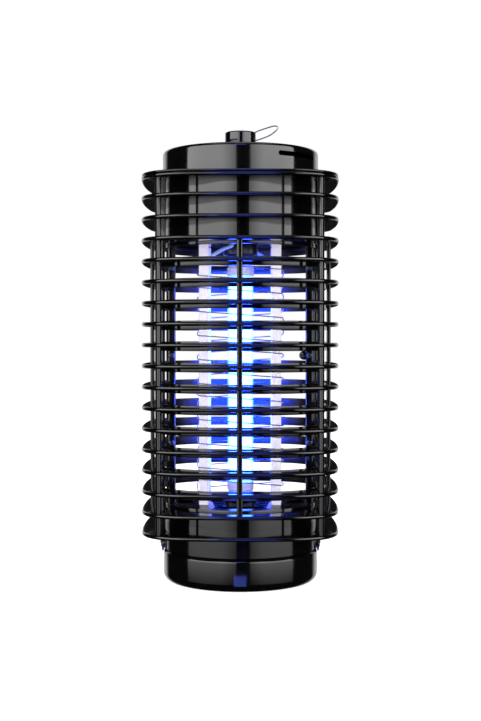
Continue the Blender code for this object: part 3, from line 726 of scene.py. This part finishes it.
    def columns(self) -> list[Mesh]:
        """Make the two side columns with their rails, webs and boss, from the CAD columns' places."""
        made = []
        near, far, deep = self.rail
        fin = self.fin_t / 2
        top_z, open_z = self.ring_z(1), self.ring_z(self.first_open - 1)
        for side, way in (("left", -1), ("right", 1)):
            low, high = (v.copy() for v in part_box(side + "_column"))
            low.z -= self.column_sunk
            high.z += self.column_sunk
            made.append(rounded_box("column", low, high, self.column_edge))
            made.append(self.side_block(way, near, far, deep, self.ring_z(self.last_open + 1), open_z))
            made.append(self.side_block(way, self.hole_r, far + self.fill_proud, deep * 1.2, open_z, top_z))
            root = max(abs(low.x), abs(high.x)) - self.web_root
            tip = self.lip_half + self.lip_t / 2
            for number in range(self.first_open, self.last_open + 1):
                z = self.ring_z(number)
                made.append(self.side_block(way, root, tip, deep * 0.9, z - fin, z + fin))
        x, radius, z = self.boss
        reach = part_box("right_column")[1].y
        made.append(rod("boss", radius, Vector((x, -reach, z)), Vector((x, reach, z)), 32, self.boss_edge))
        return made

    def side_block(self, way: int, near: float, far: float, deep: float,
                   bottom: float, top: float) -> Mesh:
        """Make a block beside a column, on the seam between the two mouldings.

        Args:
            way: -1 on the left, 1 on the right.
            near: its side towards the axis.
            far: its outer side.
            deep: its size across the seam.
            bottom: height of its lower end.
            top: height of its upper end.

        Returns:
            The block.
        """
        low = Vector((min(way * near, way * far), -deep / 2, bottom))
        high = Vector((max(way * near, way * far), deep / 2, top))
        return rounded_box("block", low, high, 0.0003, 2)

    def rings(self) -> list[Mesh]:
        """Make every fin and every open ring's lip."""
        made = []
        for number in range(2, self.ring_count + 1):
            z = self.ring_z(number)
            lipped = self.first_open <= number <= self.last_open
            made.append(self.plate(z - self.fin_t / 2, z + self.fin_t / 2, 0.0, lipped))
        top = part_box("top_cap")[0].z - self.gap
        seam = top - self.top_rim
        made.append(self.plate(seam, top, self.top_inset))
        made.append(self.plate(top - self.top_t, seam - self.top_groove))
        for number in range(self.first_open, self.last_open + 1):
            low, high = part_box(f"guard_ring_{number:02d}")
            made.append(self.lip_wall(low.z, high.z))
        return made

    def housing(self) -> list[Mesh]:
        """Make the upper housing's wall, spigot, rear skirt and ledge."""
        low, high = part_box("upper_shell")
        cap_low, cap_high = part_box("top_cap")
        top = cap_low.z - self.gap
        inner, outer = self.hole_r - self.wall_t, self.hole_r + self.lip_t * self.wall_share
        made = [self.wall(inner, outer, low.z, top - 0.0004)]
        made.append(self.wall(inner, cap_high.x - self.spigot_inset, top - 0.003, high.z))
        start, end = Vector((-0.1, self.skirt_from, 0.0)), Vector((0.1, 0.1, 0.3))
        behind = rounded_box("behind", start, end, 0.00001, 1)
        skirt = self.wall(inner, self.hole_r, low.z - self.skirt, low.z + 0.001)
        made.append(combine(skirt, [behind], Join.KEEP, "skirt"))
        made.append(self.wall(inner - self.ledge_w, self.hole_r - 0.0010, low.z, low.z + self.ledge_h))
        return made

    def collar(self) -> list[Mesh]:
        """Make the lower collar, its neck and the catch round the neck."""
        low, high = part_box("lower_shell")
        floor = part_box("floor_plate")[0].z - self.gap
        ring_low = self.ring_z(self.ring_count) - self.fin_t / 2
        inner, outer = self.hole_r - self.wall_t, self.hole_r + self.lip_t * self.wall_share
        neck = inner - self.neck_inset
        neck_in = neck - self.neck_t
        made = [self.wall(inner, outer, ring_low + 0.0002, high.z)]
        made.append(self.wall(neck_in, neck, low.z, floor, self.neck_edge))
        made.append(self.wall(neck_in, self.hole_r, ring_low, floor, self.neck_edge))
        made.append(self.wall(neck_in, neck + self.catch, low.z, low.z + self.catch, self.neck_edge))
        return made

    def build(self) -> None:
        """Build both mouldings and hang them on the root."""
        parts = self.rings() + self.housing() + self.collar() + self.bars() + self.columns()
        cage = combine(parts[0], parts[1:], Join.ADD, "cage")
        far = 2 * self.face_half
        nodes = ["upper_shell", "lower_shell", "left_column", "right_column"]
        nodes += [f"guard_ring_{n:02d}" for n in range(self.first_open, self.last_open + 1)]
        nodes += [name + "_bar" for name in BAR_NAMES]
        for name, way in (("guard_front_half", -1), ("guard_rear_half", 1)):
            near = way * self.seam / 2
            low = Vector((-far, min(near, way * far), -far))
            high = Vector((far, max(near, way * far), 3 * far))
            half = combine(cage, [rounded_box("keep", low, high, 0.00001, 1)], Join.KEEP, name)
            mine = [n for n in nodes if n.startswith("rear") == (way > 0)]
            place_piece(name, half, GUARD_GLOSS, "root", tuple(mine))


# ---- Screws ----
@dataclass
class Screws:
    """Cross-head screws that join the two mouldings along the columns."""

    head_r: float = 0.0017
    head_h: float = 0.0011
    shank_r: float = 0.0009
    round_r: float = 0.0007
    cross: float = 0.00045
    cross_deep: float = 0.0012

    def build(self) -> None:
        """Build a screw for each CAD screw."""
        for side in ("left", "right"):
            for level in ("top", "middle", "bottom"):
                self.build_one(f"{side}_{level}_screw")

    def build_one(self, node: str) -> None:
        """Build one screw in a CAD screw's place."""
        low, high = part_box(node)
        tip = -(high.y - low.y - self.head_h)
        profile = [(0.0, self.head_h), (self.head_r * 0.55, self.head_h)]
        profile += arc(self.head_r - self.round_r, self.head_h - self.round_r, self.round_r, 70, 0, 4)
        profile += [(self.head_r, 0.0), (self.shank_r, 0.0), (self.shank_r, tip), (0.0, tip)]
        screw = lathe(node, profile, 32, False)
        across, top = self.head_r * 1.2, Vector((0, 0, self.head_h))
        cuts = []
        for wide, deep in ((self.cross, across), (across, self.cross)):
            half = Vector((wide, deep, self.cross_deep)) / 2
            cuts.append(rounded_box("cross", top - half, top + half, 0.00003, 1))
        screw = combine(screw, cuts, Join.CUT, node)
        seat = Matrix.Translation(((low.x + high.x) / 2, low.y + self.head_h, (low.z + high.z) / 2))
        screw.transform(seat @ Matrix.Rotation(pi / 2, 4, "X"))
        place_piece(node + "_fine", screw, BLACKED_STEEL, "root", (node,))


# ---- Top ----
@dataclass
class TopCap:
    """Round cap with its curved vent slot and the cord inlet behind."""

    edge_r: float = 0.0020
    wall_t: float = 0.0020
    vent_h: float = 0.0025
    vent_drop: float = 0.0051
    vent_from: float = 30.0
    vent_to: float = 66.0
    stem_hole: float = 0.0033
    inlet_r: float = 0.0035

    def vent_cutters(self, outer: float, top: float) -> list[Mesh]:
        """Make the curved slot's cutter and its round ends."""
        z = top - self.vent_drop
        inner, far = outer - 2 * self.wall_t, outer + self.wall_t
        work = bmesh.new()
        start = Matrix.Rotation(radians(self.vent_from - 90), 3, "Z")
        corners = [(inner, z - self.vent_h / 2), (far, z - self.vent_h / 2),
                   (far, z + self.vent_h / 2), (inner, z + self.vent_h / 2)]
        ring = [work.verts.new(start @ Vector((r, 0, h))) for r, h in corners]
        for i in range(4):
            work.edges.new((ring[i], ring[(i + 1) % 4]))
        sweep = radians(self.vent_to - self.vent_from)
        bmesh.ops.spin(work, geom=work.verts[:] + work.edges[:], cent=(0, 0, 0), axis=(0, 0, 1),
                       dvec=(0, 0, 0), angle=sweep, steps=16, use_merge=False, use_duplicate=False)
        open_edges = [e for e in work.edges if len(e.link_faces) == 1]
        bmesh.ops.holes_fill(work, edges=open_edges, sides=4)
        cutters = [to_mesh(work, "vent")]
        for degrees in (self.vent_from, self.vent_to):
            a = radians(degrees - 90)
            way = Vector((cos(a), sin(a), 0))
            up = Vector((0, 0, z))
            cutters.append(rod("vent_end", self.vent_h / 2, way * inner + up, way * far + up, 24))
        return cutters

    def build(self) -> None:
        """Build the cap and the grommet."""
        low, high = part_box("top_cap")
        outer, inner = high.x, high.x - self.wall_t
        profile = [(self.stem_hole, high.z), (outer * 0.55, high.z)]
        profile += arc(outer - self.edge_r, high.z - self.edge_r, self.edge_r, 90, 0, 8)
        profile += [(outer, low.z + 0.0003), (outer - 0.0003, low.z), (inner, low.z)]
        profile += [(inner, high.z - self.wall_t), (self.stem_hole, high.z - self.wall_t)]
        cap = lathe("cap", profile, 192)
        cutters = self.vent_cutters(outer, high.z)
        inlet = sum(v.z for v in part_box("cord_grommet")) / 2
        start, end = Vector((0, inner - 0.002, inlet)), Vector((0, outer + 0.002, inlet))
        cutters.append(rod("inlet", self.inlet_r, start, end, 48))
        cap = combine(cap, cutters, Join.CUT, "cap_shell")
        place_piece("cap_shell", cap, BLACK_GLOSS, "root", ("top_cap",))
        self.build_grommet(outer, inner, inlet)

    def build_grommet(self, outer: float, inner: float, z: float) -> None:
        """Build the rubber grommet of the cord inlet."""
        low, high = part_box("cord_grommet")
        flange_r = (high.x - low.x) / 2
        profile = [(0.0019, high.y - 0.0003), (0.0023, high.y), (flange_r * 0.8, high.y - 0.0001)]
        profile += [(flange_r, outer + 0.0009), (flange_r, outer + 0.0004), (0.0032, outer + 0.0003)]
        profile += [(0.0032, inner - 0.0003), (0.0038, inner - 0.0006), (0.0034, low.y), (0.0019, low.y)]
        ring = lathe("grommet", profile, 48, True, 0.0001)
        ring.transform(Matrix.Translation((0, 0, z)) @ Matrix.Rotation(-pi / 2, 4, "X"))
        place_piece("cord_inlet_ring", ring, RUBBER, "root", ("cord_grommet",))


@dataclass
class Knob:
    """Knob on the cap, with the loop's notch, a side window and the wire loop."""

    edge_r: float = 0.0009
    notch_w: float = 0.0018
    notch_in: float = 0.0014
    stem_r: float = 0.0030
    wire_r: float = 0.00035
    pin_r: float = 0.0005
    gap: float = 0.0003
    window: tuple[float, ...] = (-0.0066, -0.0014, 0.0048, 0.0016)
    window_deep: float = 0.0026

    def build(self) -> None:
        """Build the knob and its loop."""
        low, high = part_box("cap_knob")
        radius = high.x
        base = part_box("top_cap")[1].z + 0.0003
        pin_low, pin_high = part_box("loop_pin")
        pin = (pin_low + pin_high) / 2
        profile = [(0.0, high.z - 0.0003), (radius * 0.45, high.z - 0.0001)]
        profile.append((radius - 2 * self.edge_r, high.z))
        profile += arc(radius - self.edge_r, high.z - self.edge_r, self.edge_r, 70, 0, 5)
        profile += [(radius, base + 0.0004), (radius - 0.0004, base), (self.stem_r, base)]
        profile += [(self.stem_r, low.z + 0.0004), (self.stem_r - 0.0004, low.z), (0.0, low.z)]
        knob = lathe("knob", profile, 96, False)
        bend = self.pin_r + self.gap + self.wire_r
        floor = pin.z - bend - self.wire_r - self.gap
        notch_low = Vector((self.notch_in, -self.notch_w / 2, floor))
        notch_high = Vector((radius + 0.001, self.notch_w / 2, high.z + 0.001))
        cuts = [rounded_box("notch", notch_low, notch_high, 0.0002, 2)]
        left, right, rise, height = self.window
        window_low = Vector((left, -radius - 0.001, base + rise))
        window_high = Vector((right, -radius + self.window_deep, base + rise + height))
        cuts.append(rounded_box("window", window_low, window_high, 0.0002, 2))
        reach = Vector((0, (pin_high.y - pin_low.y) / 2 + self.gap, 0))
        cuts.append(rod("bore", self.pin_r + self.gap, pin - reach, pin + reach, 24))
        knob = combine(knob, cuts, Join.CUT, "knob")
        place_piece("knob_fine", knob, BLACK_GLOSS, "root", ("cap_knob",))

        round_pin = arc(pin.x, pin.z, bend, 300, 135, 8)
        upper = [(0.0082, 0.2452), (0.0120, 0.2467), (0.0161, 0.2480), (0.0185, 0.2486), (0.0200, 0.2484)]
        lower = [(0.0204, 0.2477), (0.0196, 0.2462), (0.0164, 0.2437), (0.0125, 0.2420), (0.0087, 0.2408)]
        points = [Vector((x, 0.0, z)) for x, z in round_pin + upper + lower]
        wire_piece("wire_loop", smooth_line(points, 6, True), self.wire_r, LOOP_STEEL, "loop",
                   ("hanging_loop",), True)


# ---- Lamp ----
@dataclass
class Lamp:
    """UV tube: a glowing core in thin glass, end caps and holders."""

    core_share: float = 0.88
    glass_end: float = 0.0030
    pin_r: float = 0.0008
    pin_x: float = 0.0030
    gap: float = 0.0003

    def build(self) -> None:
        """Build the tube, its caps and its holders."""
        low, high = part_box("uv_tube")
        radius = high.x
        core_r = radius * self.core_share
        profile = [(0.0, high.z), (radius - self.glass_end, high.z)]
        profile += arc(radius - self.glass_end, high.z - self.glass_end, self.glass_end, 90, 0, 6)[1:]
        profile += arc(radius - self.glass_end, low.z + self.glass_end, self.glass_end, 0, -90, 6)
        profile += [(0.0, low.z)]
        glass = lathe("glass", profile, 64, False)
        place_piece("tube_glass", glass, TUBE_GLASS, "root", ("uv_tube",))
        end = 0.0012
        profile = [(0.0, high.z - end), (core_r * 0.8, high.z - end), (core_r, high.z - 3 * end)]
        profile += [(core_r, low.z + 3 * end), (core_r * 0.8, low.z + end), (0.0, low.z + end)]
        place_piece("tube_core", lathe("core", profile, 48, False), PHOSPHOR, "root")
        for word, way in (("upper", 1), ("lower", -1)):
            self.build_cap(word, way)
            self.build_holder(word, way)

    def build_cap(self, word: str, way: int) -> None:
        """Build one end cap with its two pins."""
        node = word + "_tube_cap"
        low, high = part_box(node)
        near, tip = (low.z, high.z) if way > 0 else (high.z, low.z)
        far = near + way * 0.0060
        radius = high.x
        profile = [(0.0, near), (radius - 0.0004, near), (radius, near + way * 0.0005)]
        profile += [(radius, far - way * 0.0016), (radius - 0.0012, far), (0.0, far)]
        cap = lathe(node, profile, 64, False)
        pins = [rod("pin", self.pin_r, Vector((x, 0, far - way * 0.001)), Vector((x, 0, tip)), 16, 0.0002)
                for x in (-self.pin_x, self.pin_x)]
        place_piece(node + "_fine", combine(cap, pins, Join.ADD, node), WHITE_CERAMIC, "root",
                    (node,))

    def build_holder(self, word: str, way: int) -> None:
        """Build one lamp holder: a stepped round socket."""
        node = word + "_lamp_holder"
        low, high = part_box(node)
        seat, start = (high.z, low.z) if way > 0 else (low.z, high.z)
        radius = high.x
        profile = [(0.0, start), (radius * 0.86, start), (radius * 0.90, start + way * 0.0004)]
        profile += [(radius * 0.90, start + (seat - start) * 0.45), (radius, start + (seat - start) * 0.5)]
        profile += [(radius, seat), (0.0, seat)]
        holder = lathe(node, profile, 64, False, 0.0003)
        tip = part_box(word + "_tube_cap")[1 if way > 0 else 0].z
        holes = [rod("hole", self.pin_r + self.gap, Vector((x, 0, start - way * 0.001)),
                     Vector((x, 0, tip + way * self.gap)), 16) for x in (-self.pin_x, self.pin_x)]
        place_piece(node + "_fine", combine(holder, holes, Join.CUT, node), BLACK_SATIN, "root",
                    (node,))


# ---- Killing grid ----
@dataclass
class Grid:
    """White posts, the two wires wound on them, and their insulated leads."""

    post_edge: float = 0.0005
    wire_r: float = 0.0003
    lead: float = 0.0125
    gap: float = 0.0003
    corner_r: float = 0.0012
    bulge: float = 0.0012
    lead_r: float = 0.0010

    def build(self) -> None:
        """Build the posts, wires and leads."""
        for row in ("front", "rear"):
            for side in ("left", "right"):
                node = f"{row}_{side}_post"
                low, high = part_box(node)
                post = rounded_box(node, low, high, self.post_edge)
                # The posts' finish carries a painted glow: an emission that brightens them though they are
                # no lamp.
                place_piece(node + "_fine", post, WHITE_SATIN_PAINTED_GLOW, "root", (node,))
        for node, first in (("live_grid_wire", 0), ("return_grid_wire", 2)):
            line = self.wound_line(node, first)
            wire_piece(node + "_fine", line, self.wire_r, GRID_STEEL, "root", (node,))
        self.build_leads()

    def wound_line(self, node: str, first: int) -> list[Vector]:
        """Wind one wire round the four posts.

        Args:
            node: the CAD wire that gives its lowest and highest point.
            first: the corner that it starts at, counted clockwise from the rear left.

        Returns:
            The wire's centre line.
        """
        low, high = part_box(node)
        half_x, half_y = high.x - self.wire_r, high.y - self.wire_r
        inner_x, inner_y = half_x - self.corner_r, half_y - self.corner_r
        corners = ((1, 1), (-1, 1), (-1, -1), (1, -1))
        bottom, top = low.z + self.wire_r, high.z - self.wire_r
        turns = (top - bottom) / self.lead
        plan = []
        for bend in range(int(turns * 4) + 1):
            quarter = (first + bend) % 4
            sx, sy = corners[quarter]
            for i in range(5):
                a = quarter * pi / 2 + i * pi / 8
                x = -sx * inner_x - self.corner_r * cos(a)
                plan.append(Vector((x, sy * inner_y + self.corner_r * sin(a))))
        lengths = [0.0]
        for before, after in zip(plan, plan[1:]):
            lengths.append(lengths[-1] + (after - before).length)
        return self.bowed([Vector((*flat, bottom + (top - bottom) * run / lengths[-1]))
                           for flat, run in zip(plan, lengths)])

    def bowed(self, points: list[Vector]) -> list[Vector]:
        """Bow the long side runs outwards, as a hand-wound wire stands off its posts."""
        made = [points[0]]
        for before, after in zip(points, points[1:]):
            span = after - before
            if span.length > 4 * self.corner_r:
                middle = (before + after) / 2
                out = Vector((middle.x, 0, 0)) if abs(span.y) > abs(span.x) else Vector((0, middle.y, 0))
                for k in range(1, 6):
                    t = k / 6
                    lift = sin(pi * t) * self.bulge * (1.0 if abs(span.y) > abs(span.x) else 0.3)
                    made.append(before.lerp(after, t) + out.normalized() * lift)
            made.append(after)
        return made

    def build_leads(self) -> None:
        """Build the two leads that hang from the ceiling to the posts."""
        for turn, node in ((1, "front_grid_lead"), (-1, "rear_grid_lead")):
            low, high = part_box(node)
            inner_x = 0.0194 - 0.0025 - self.gap - self.lead_r
            top, bottom = high.z, low.z + self.lead_r * 0.6
            points = [Vector((-turn * 0.0045, -turn * 0.0125, top)),
                      Vector((-turn * 0.0047, -turn * 0.0126, top - self.lead_r)),
                      Vector((-turn * 0.0095, -turn * 0.0157, (top * 0.55 + bottom * 0.45))),
                      Vector((-turn * inner_x, -turn * 0.0196, bottom))]
            wire_piece(node + "_fine", smooth_line(points, 8), self.lead_r, LEAD_JACKET, "root",
                       (node,))


# ---- Base ----
@dataclass
class Base:
    """Floor plate, lock ring with grips, and the tray."""

    tray_t: float = 0.0020
    tray_rim: float = 0.0021
    tray_foot: float = 0.0045
    grip_w: float = 0.0140
    teeth: int = 3
    tooth_step: float = 0.0004
    tooth_h: float = 0.0018
    neck: float = 0.0380
    catch: float = 0.0012
    skirt_t: float = 0.0018
    shelf_t: float = 0.00145
    gap: float = 0.0003
    run: float = 0.0004
    fall: Triple = (0.0265, 0.0345, 24.0)

    def build(self) -> None:
        """Build the floor plate, the ring and the tray."""
        self.build_floor()
        self.build_ring()
        self.build_tray()

    def build_floor(self) -> None:
        """Build the floor plate with its fall-through openings."""
        low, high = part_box("floor_plate")
        profile = [(0.0, high.z), (high.x, high.z), (high.x, low.z), (0.0, low.z)]
        floor = lathe("floor", profile, 128, False, 0.0003)
        cuts = []
        inner, outer, half = self.fall
        for side in range(4):
            work = bmesh.new()
            middle = side * pi / 2
            ring = []
            for radius, way in ((inner, 1), (outer, -1)):
                for i in range(9):
                    a = middle + way * radians(half) * (2 * i / 8 - 1)
                    ring.append(work.verts.new((radius * cos(a), radius * sin(a), low.z - 0.001)))
            push(work, [work.faces.new(ring)], (0, 0, high.z - low.z + 0.002))
            cuts.append(to_mesh(work, "fall"))
        place_piece("floor_fine", combine(floor, cuts, Join.CUT, "floor"), BLACK_GLOSS, "root",
                    ("floor_plate",))

    def build_ring(self) -> None:
        """Build the lock ring and its ribbed grips."""
        low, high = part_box("tray_lock_ring")
        outer = high.y
        tray_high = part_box("collection_tray")[1]
        seat = tray_high.z + self.gap
        skirt = tray_high.x - self.tray_t - self.run
        inside, neck = skirt - self.skirt_t, self.neck + self.run
        catch, shelf = neck + self.catch, seat + self.shelf_t
        profile = [(outer, high.z), (outer, seat + self.gap), (outer - self.gap, seat), (skirt, seat)]
        profile += [(skirt, low.z), (inside, low.z), (inside, shelf), (catch, shelf)]
        profile += [(catch, shelf + 0.0018), (neck, shelf + 0.0018), (neck, high.z)]
        ring = lathe("ring", profile, 192)
        grips = [self.grip(side, outer, high.x, seat) for side in (-1, 1)]
        place_piece("lock_ring_fine", combine(ring, grips, Join.ADD, "ring"), BLACK_GLOSS, "lock",
                    ("tray_lock_ring",))

    def grip(self, side: int, outer: float, tip: float, seat: float) -> Mesh:
        """Make one ribbed grip.

        Args:
            side: -1 on the left, 1 on the right.
            outer: radius of the ring that carries it.
            tip: how far its top tooth reaches from the axis.
            seat: height of the ring's lower face.

        Returns:
            The grip.
        """
        top, root, low = seat + 2 * self.tooth_h, outer - 0.0010, outer + 0.0008
        outline = [(root, top)]
        for tooth in range(self.teeth):
            crest, level = tip - tooth * self.tooth_step, top - tooth * self.tooth_h
            outline += [(crest, level), (crest - 2 * self.tooth_step, level - self.tooth_h)]
        outline += [(low, top - self.teeth * self.tooth_h), (low, seat + self.gap), (root, seat + self.gap)]
        work = bmesh.new()
        face = work.faces.new([work.verts.new((side * x, -self.grip_w / 2, z)) for x, z in outline])
        push(work, [face], (0, self.grip_w, 0))
        soften(work, 0.00012, 2)
        return to_mesh(work, "grip")

    def build_tray(self) -> None:
        """Build the collection tray."""
        low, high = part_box("collection_tray")
        outer, inner = high.x, high.x - self.tray_t
        profile = [(0.0, self.tray_t), (inner - 0.0015, self.tray_t)]
        profile += arc(inner - 0.0015, self.tray_t + 0.0015, 0.0015, -90, 0, 4)
        profile += [(inner, high.z - 0.0003), (inner, high.z - 0.0001)]
        profile += arc(outer - self.tray_rim, high.z - self.tray_rim, self.tray_rim, 86, 0, 7)
        profile += arc(outer - self.tray_foot, self.tray_foot, self.tray_foot, 0, -90, 9)
        profile += [(0.0, 0.0)]
        place_piece("tray_fine", lathe("tray", profile, 192, False), BLACK_GLOSS, "tray",
                    ("collection_tray",))


# ---- CAD nodes that keep their shape ----
KEPT_NODES = {
    "ceiling_plate": BLACK_GLOSS,
    "knob_nut": BRIGHT_ZINC,
    "loop_pin": BRIGHT_ZINC,
    "driver_board": SOLDER_MASK,
    "transformer": WINDING_TAPE,
    "front_capacitor": SLEEVE,
    "rear_capacitor": SLEEVE,
}


def dress_kept_nodes() -> None:
    """Give the carried-over CAD nodes their finishes."""
    for node, finish in KEPT_NODES.items():
        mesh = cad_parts[node].data
        mesh.materials.clear()
        mesh.materials.append(finish_of(finish))
        log.info("%s keeps its CAD shape", node)


# ---- Studio ----
@dataclass
class Studio:
    """Camera, floor, white surround and soft lights."""

    distance: float = 0.694
    eye_z: float = 0.133
    lens_mm: float = 63.0125
    film_mm: float = 36.0
    tilt_deg: float = 1.0668
    turn_deg: float = -0.56
    dim: float = 0.012
    backdrop_y: Span = (0.70, 0.85)
    backdrop_x: Span = (0.10, 0.30)
    pool: Span = (0.05, 0.35)
    pool_glow: float = 0.75
    glow_colour: Colour = (0.12, 0.18, 1.0)
    glow_level: float = 5.0
    glow_wide: float = 0.30
    lights_away: float = 0.95
    floor_gap: float = 0.0003
    floor_half: float = 6.0
    box_z: float = 0.30
    box_tall: float = 1.25
    box_rise: tuple[Span, Span] = ((0.05, 0.58), (0.4, 5.4))
    box_fade: float = 0.3
    box_edge: float = 0.45

    def build(self) -> None:
        """Set up the whole studio."""
        self.camera()
        self.surround()
        self.floor()
        self.softbox("left_softbox", -44.0, 1.50, 1.0)
        self.softbox("right_softbox", 49.0, 1.30, 0.0)
        self.top_light()
        self.blue_glow("high_glow", 0.97, 0.70)
        self.blue_glow("low_glow", -0.42, 0.50)
        bpy.context.scene.view_settings.view_transform = "Standard"

    def camera(self) -> None:
        """Place the camera in front, level with the middle of the lamp."""
        lens = bpy.data.cameras.new("camera")
        lens.lens = self.lens_mm
        lens.sensor_width = self.film_mm
        lens.clip_start = 0.01
        eye = bpy.data.objects.new("camera", lens)
        a = radians(self.turn_deg)
        eye.location = (-self.distance * sin(a), -self.distance * cos(a), self.eye_z)
        eye.rotation_euler = (pi / 2 - radians(self.tilt_deg), 0.0, -a)
        bpy.context.scene.collection.objects.link(eye)
        bpy.context.scene.camera = eye

    def surround(self) -> None:
        """Make the world white to the eye, through glass and behind the lamp, and dim as a light."""
        world = bpy.data.worlds.new("surround")
        world.use_nodes = True
        tree = world.node_tree
        path = add_node(tree, "LightPath").outputs
        seen = calculate(tree, "MAXIMUM", path["Is Camera Ray"], path["Is Transmission Ray"])
        place = add_node(tree, "TexCoord").outputs["Generated"]
        way = add_node(tree, "SeparateXYZ", {"Vector": place}).outputs
        aside = calculate(tree, "ABSOLUTE", way["X"])
        mirrored = path["Is Glossy Ray"]
        for value, reach in ((way["Y"], self.backdrop_y), (aside, self.backdrop_x)):
            mirrored = calculate(tree, "MULTIPLY", mirrored, remap(tree, value, reach, smooth=True))
        either = calculate(tree, "MAXIMUM", seen, mirrored)
        strength = remap(tree, either, (0.0, 1.0), (self.dim, 1.0))
        fill(tree, tree.nodes["Background"], {"Color": (1.0, 1.0, 1.0, 1.0), "Strength": strength})
        bpy.context.scene.world = world

    def floor(self) -> None:
        """Lay a pale floor that keeps the lamp's shadow and fades into the white surround."""
        work = bmesh.new()
        place = Matrix.Translation((0, 0, -self.floor_gap))
        bmesh.ops.create_grid(work, x_segments=1, y_segments=1, size=self.floor_half, matrix=place)
        ground = bpy.data.objects.new("floor_plane", to_mesh(work, "floor_plane"))
        made, tree, shader = new_shader("pale_floor")
        seen = add_node(tree, "LightPath").outputs["Is Camera Ray"]
        flat = add_node(tree, "TexCoord").outputs["Object"]
        away = add_node(tree, "VectorMath", {0: flat}, operation="LENGTH").outputs["Value"]
        rise = remap(tree, away, self.pool, (self.pool_glow, 1.0), smooth=True)
        fill(tree, shader, {"Base Color": (0.8, 0.8, 0.8, 1.0), "Roughness": 0.9, "Specular IOR Level": 0.0,
                            "Emission Color": (1.0, 1.0, 1.0, 1.0),
                            "Emission Strength": calculate(tree, "MULTIPLY", seen, rise)})
        ground.data.materials.append(made)
        ground.visible_glossy = False
        bpy.context.scene.collection.objects.link(ground)

    def hang(self, name: str, level: float, size: Span, place: Triple,
             turn: float = 0.0) -> bpy.types.Light:
        """Hang an upright rectangular light that faces the lamp and isn't seen.

        Args:
            name: the light's name.
            level: how bright its surface is.
            size: width and height in metres.
            place: its middle.
            turn: angle about Z from the camera's side towards +X.

        Returns:
            The light's data.
        """
        lamp = bpy.data.lights.new(name, "AREA")
        lamp.shape = "RECTANGLE"
        lamp.size, lamp.size_y = size
        lamp.energy = level * pi * lamp.size * lamp.size_y
        box = bpy.data.objects.new(name, lamp)
        box.location = place
        box.rotation_euler = (pi / 2, 0.0, turn)
        box.visible_camera = False
        bpy.context.scene.collection.objects.link(box)
        return lamp

    def softbox(self, name: str, azimuth: float, wide: float, inner_end: float) -> None:
        """Hang a tall soft light beside the camera, brightest high up and away from the camera.

        Args:
            name: the light's name.
            azimuth: degrees from the camera's side towards +X.
            wide: width in metres.
            inner_end: the end of its width, 0 or 1, that is next to the camera.
        """
        a = radians(azimuth)
        place = (self.lights_away * sin(a), -self.lights_away * cos(a), self.box_z)
        lamp = self.hang(name, 1.0, (wide, self.box_tall), place, a)
        lamp.use_nodes = True
        tree = lamp.node_tree
        spot = add_node(tree, "NewGeometry").outputs["Parametric"]
        across = add_node(tree, "SeparateXYZ", {"Vector": spot}).outputs
        rise = remap(tree, across["Y"], *self.box_rise)
        fade = remap(tree, across["X"], (inner_end, abs(inner_end - self.box_fade)), (self.box_edge, 1.0))
        fill(tree, tree.nodes["Emission"], {"Strength": calculate(tree, "MULTIPLY", rise, fade)})

    def blue_glow(self, name: str, z: float, tall: float) -> None:
        """Hang a narrow violet light between the softboxes, which tints the ring noses.

        Args:
            name: the light's name.
            z: height of its middle.
            tall: height in metres.
        """
        size = (self.glow_wide, tall)
        self.hang(name, self.glow_level, size, (0.0, -self.lights_away, z)).color = self.glow_colour

    def top_light(self) -> None:
        """Hang a weak light overhead."""
        lamp = bpy.data.lights.new("top_light", "AREA")
        lamp.size = 0.8
        lamp.energy = 3.0
        box = bpy.data.objects.new("top_light", lamp)
        box.location = (0.0, 0.1, 1.2)
        box.visible_camera = False
        bpy.context.scene.collection.objects.link(box)


def main() -> None:
    """Build every sub-assembly, then the studio."""
    logging.basicConfig(level=logging.INFO, format="%(message)s")
    Studio().build()
    Guard().build()
    Screws().build()
    TopCap().build()
    Knob().build()
    Lamp().build()
    Grid().build()
    Base().build()
    dress_kept_nodes()


if __name__ == "__main__":
    main()
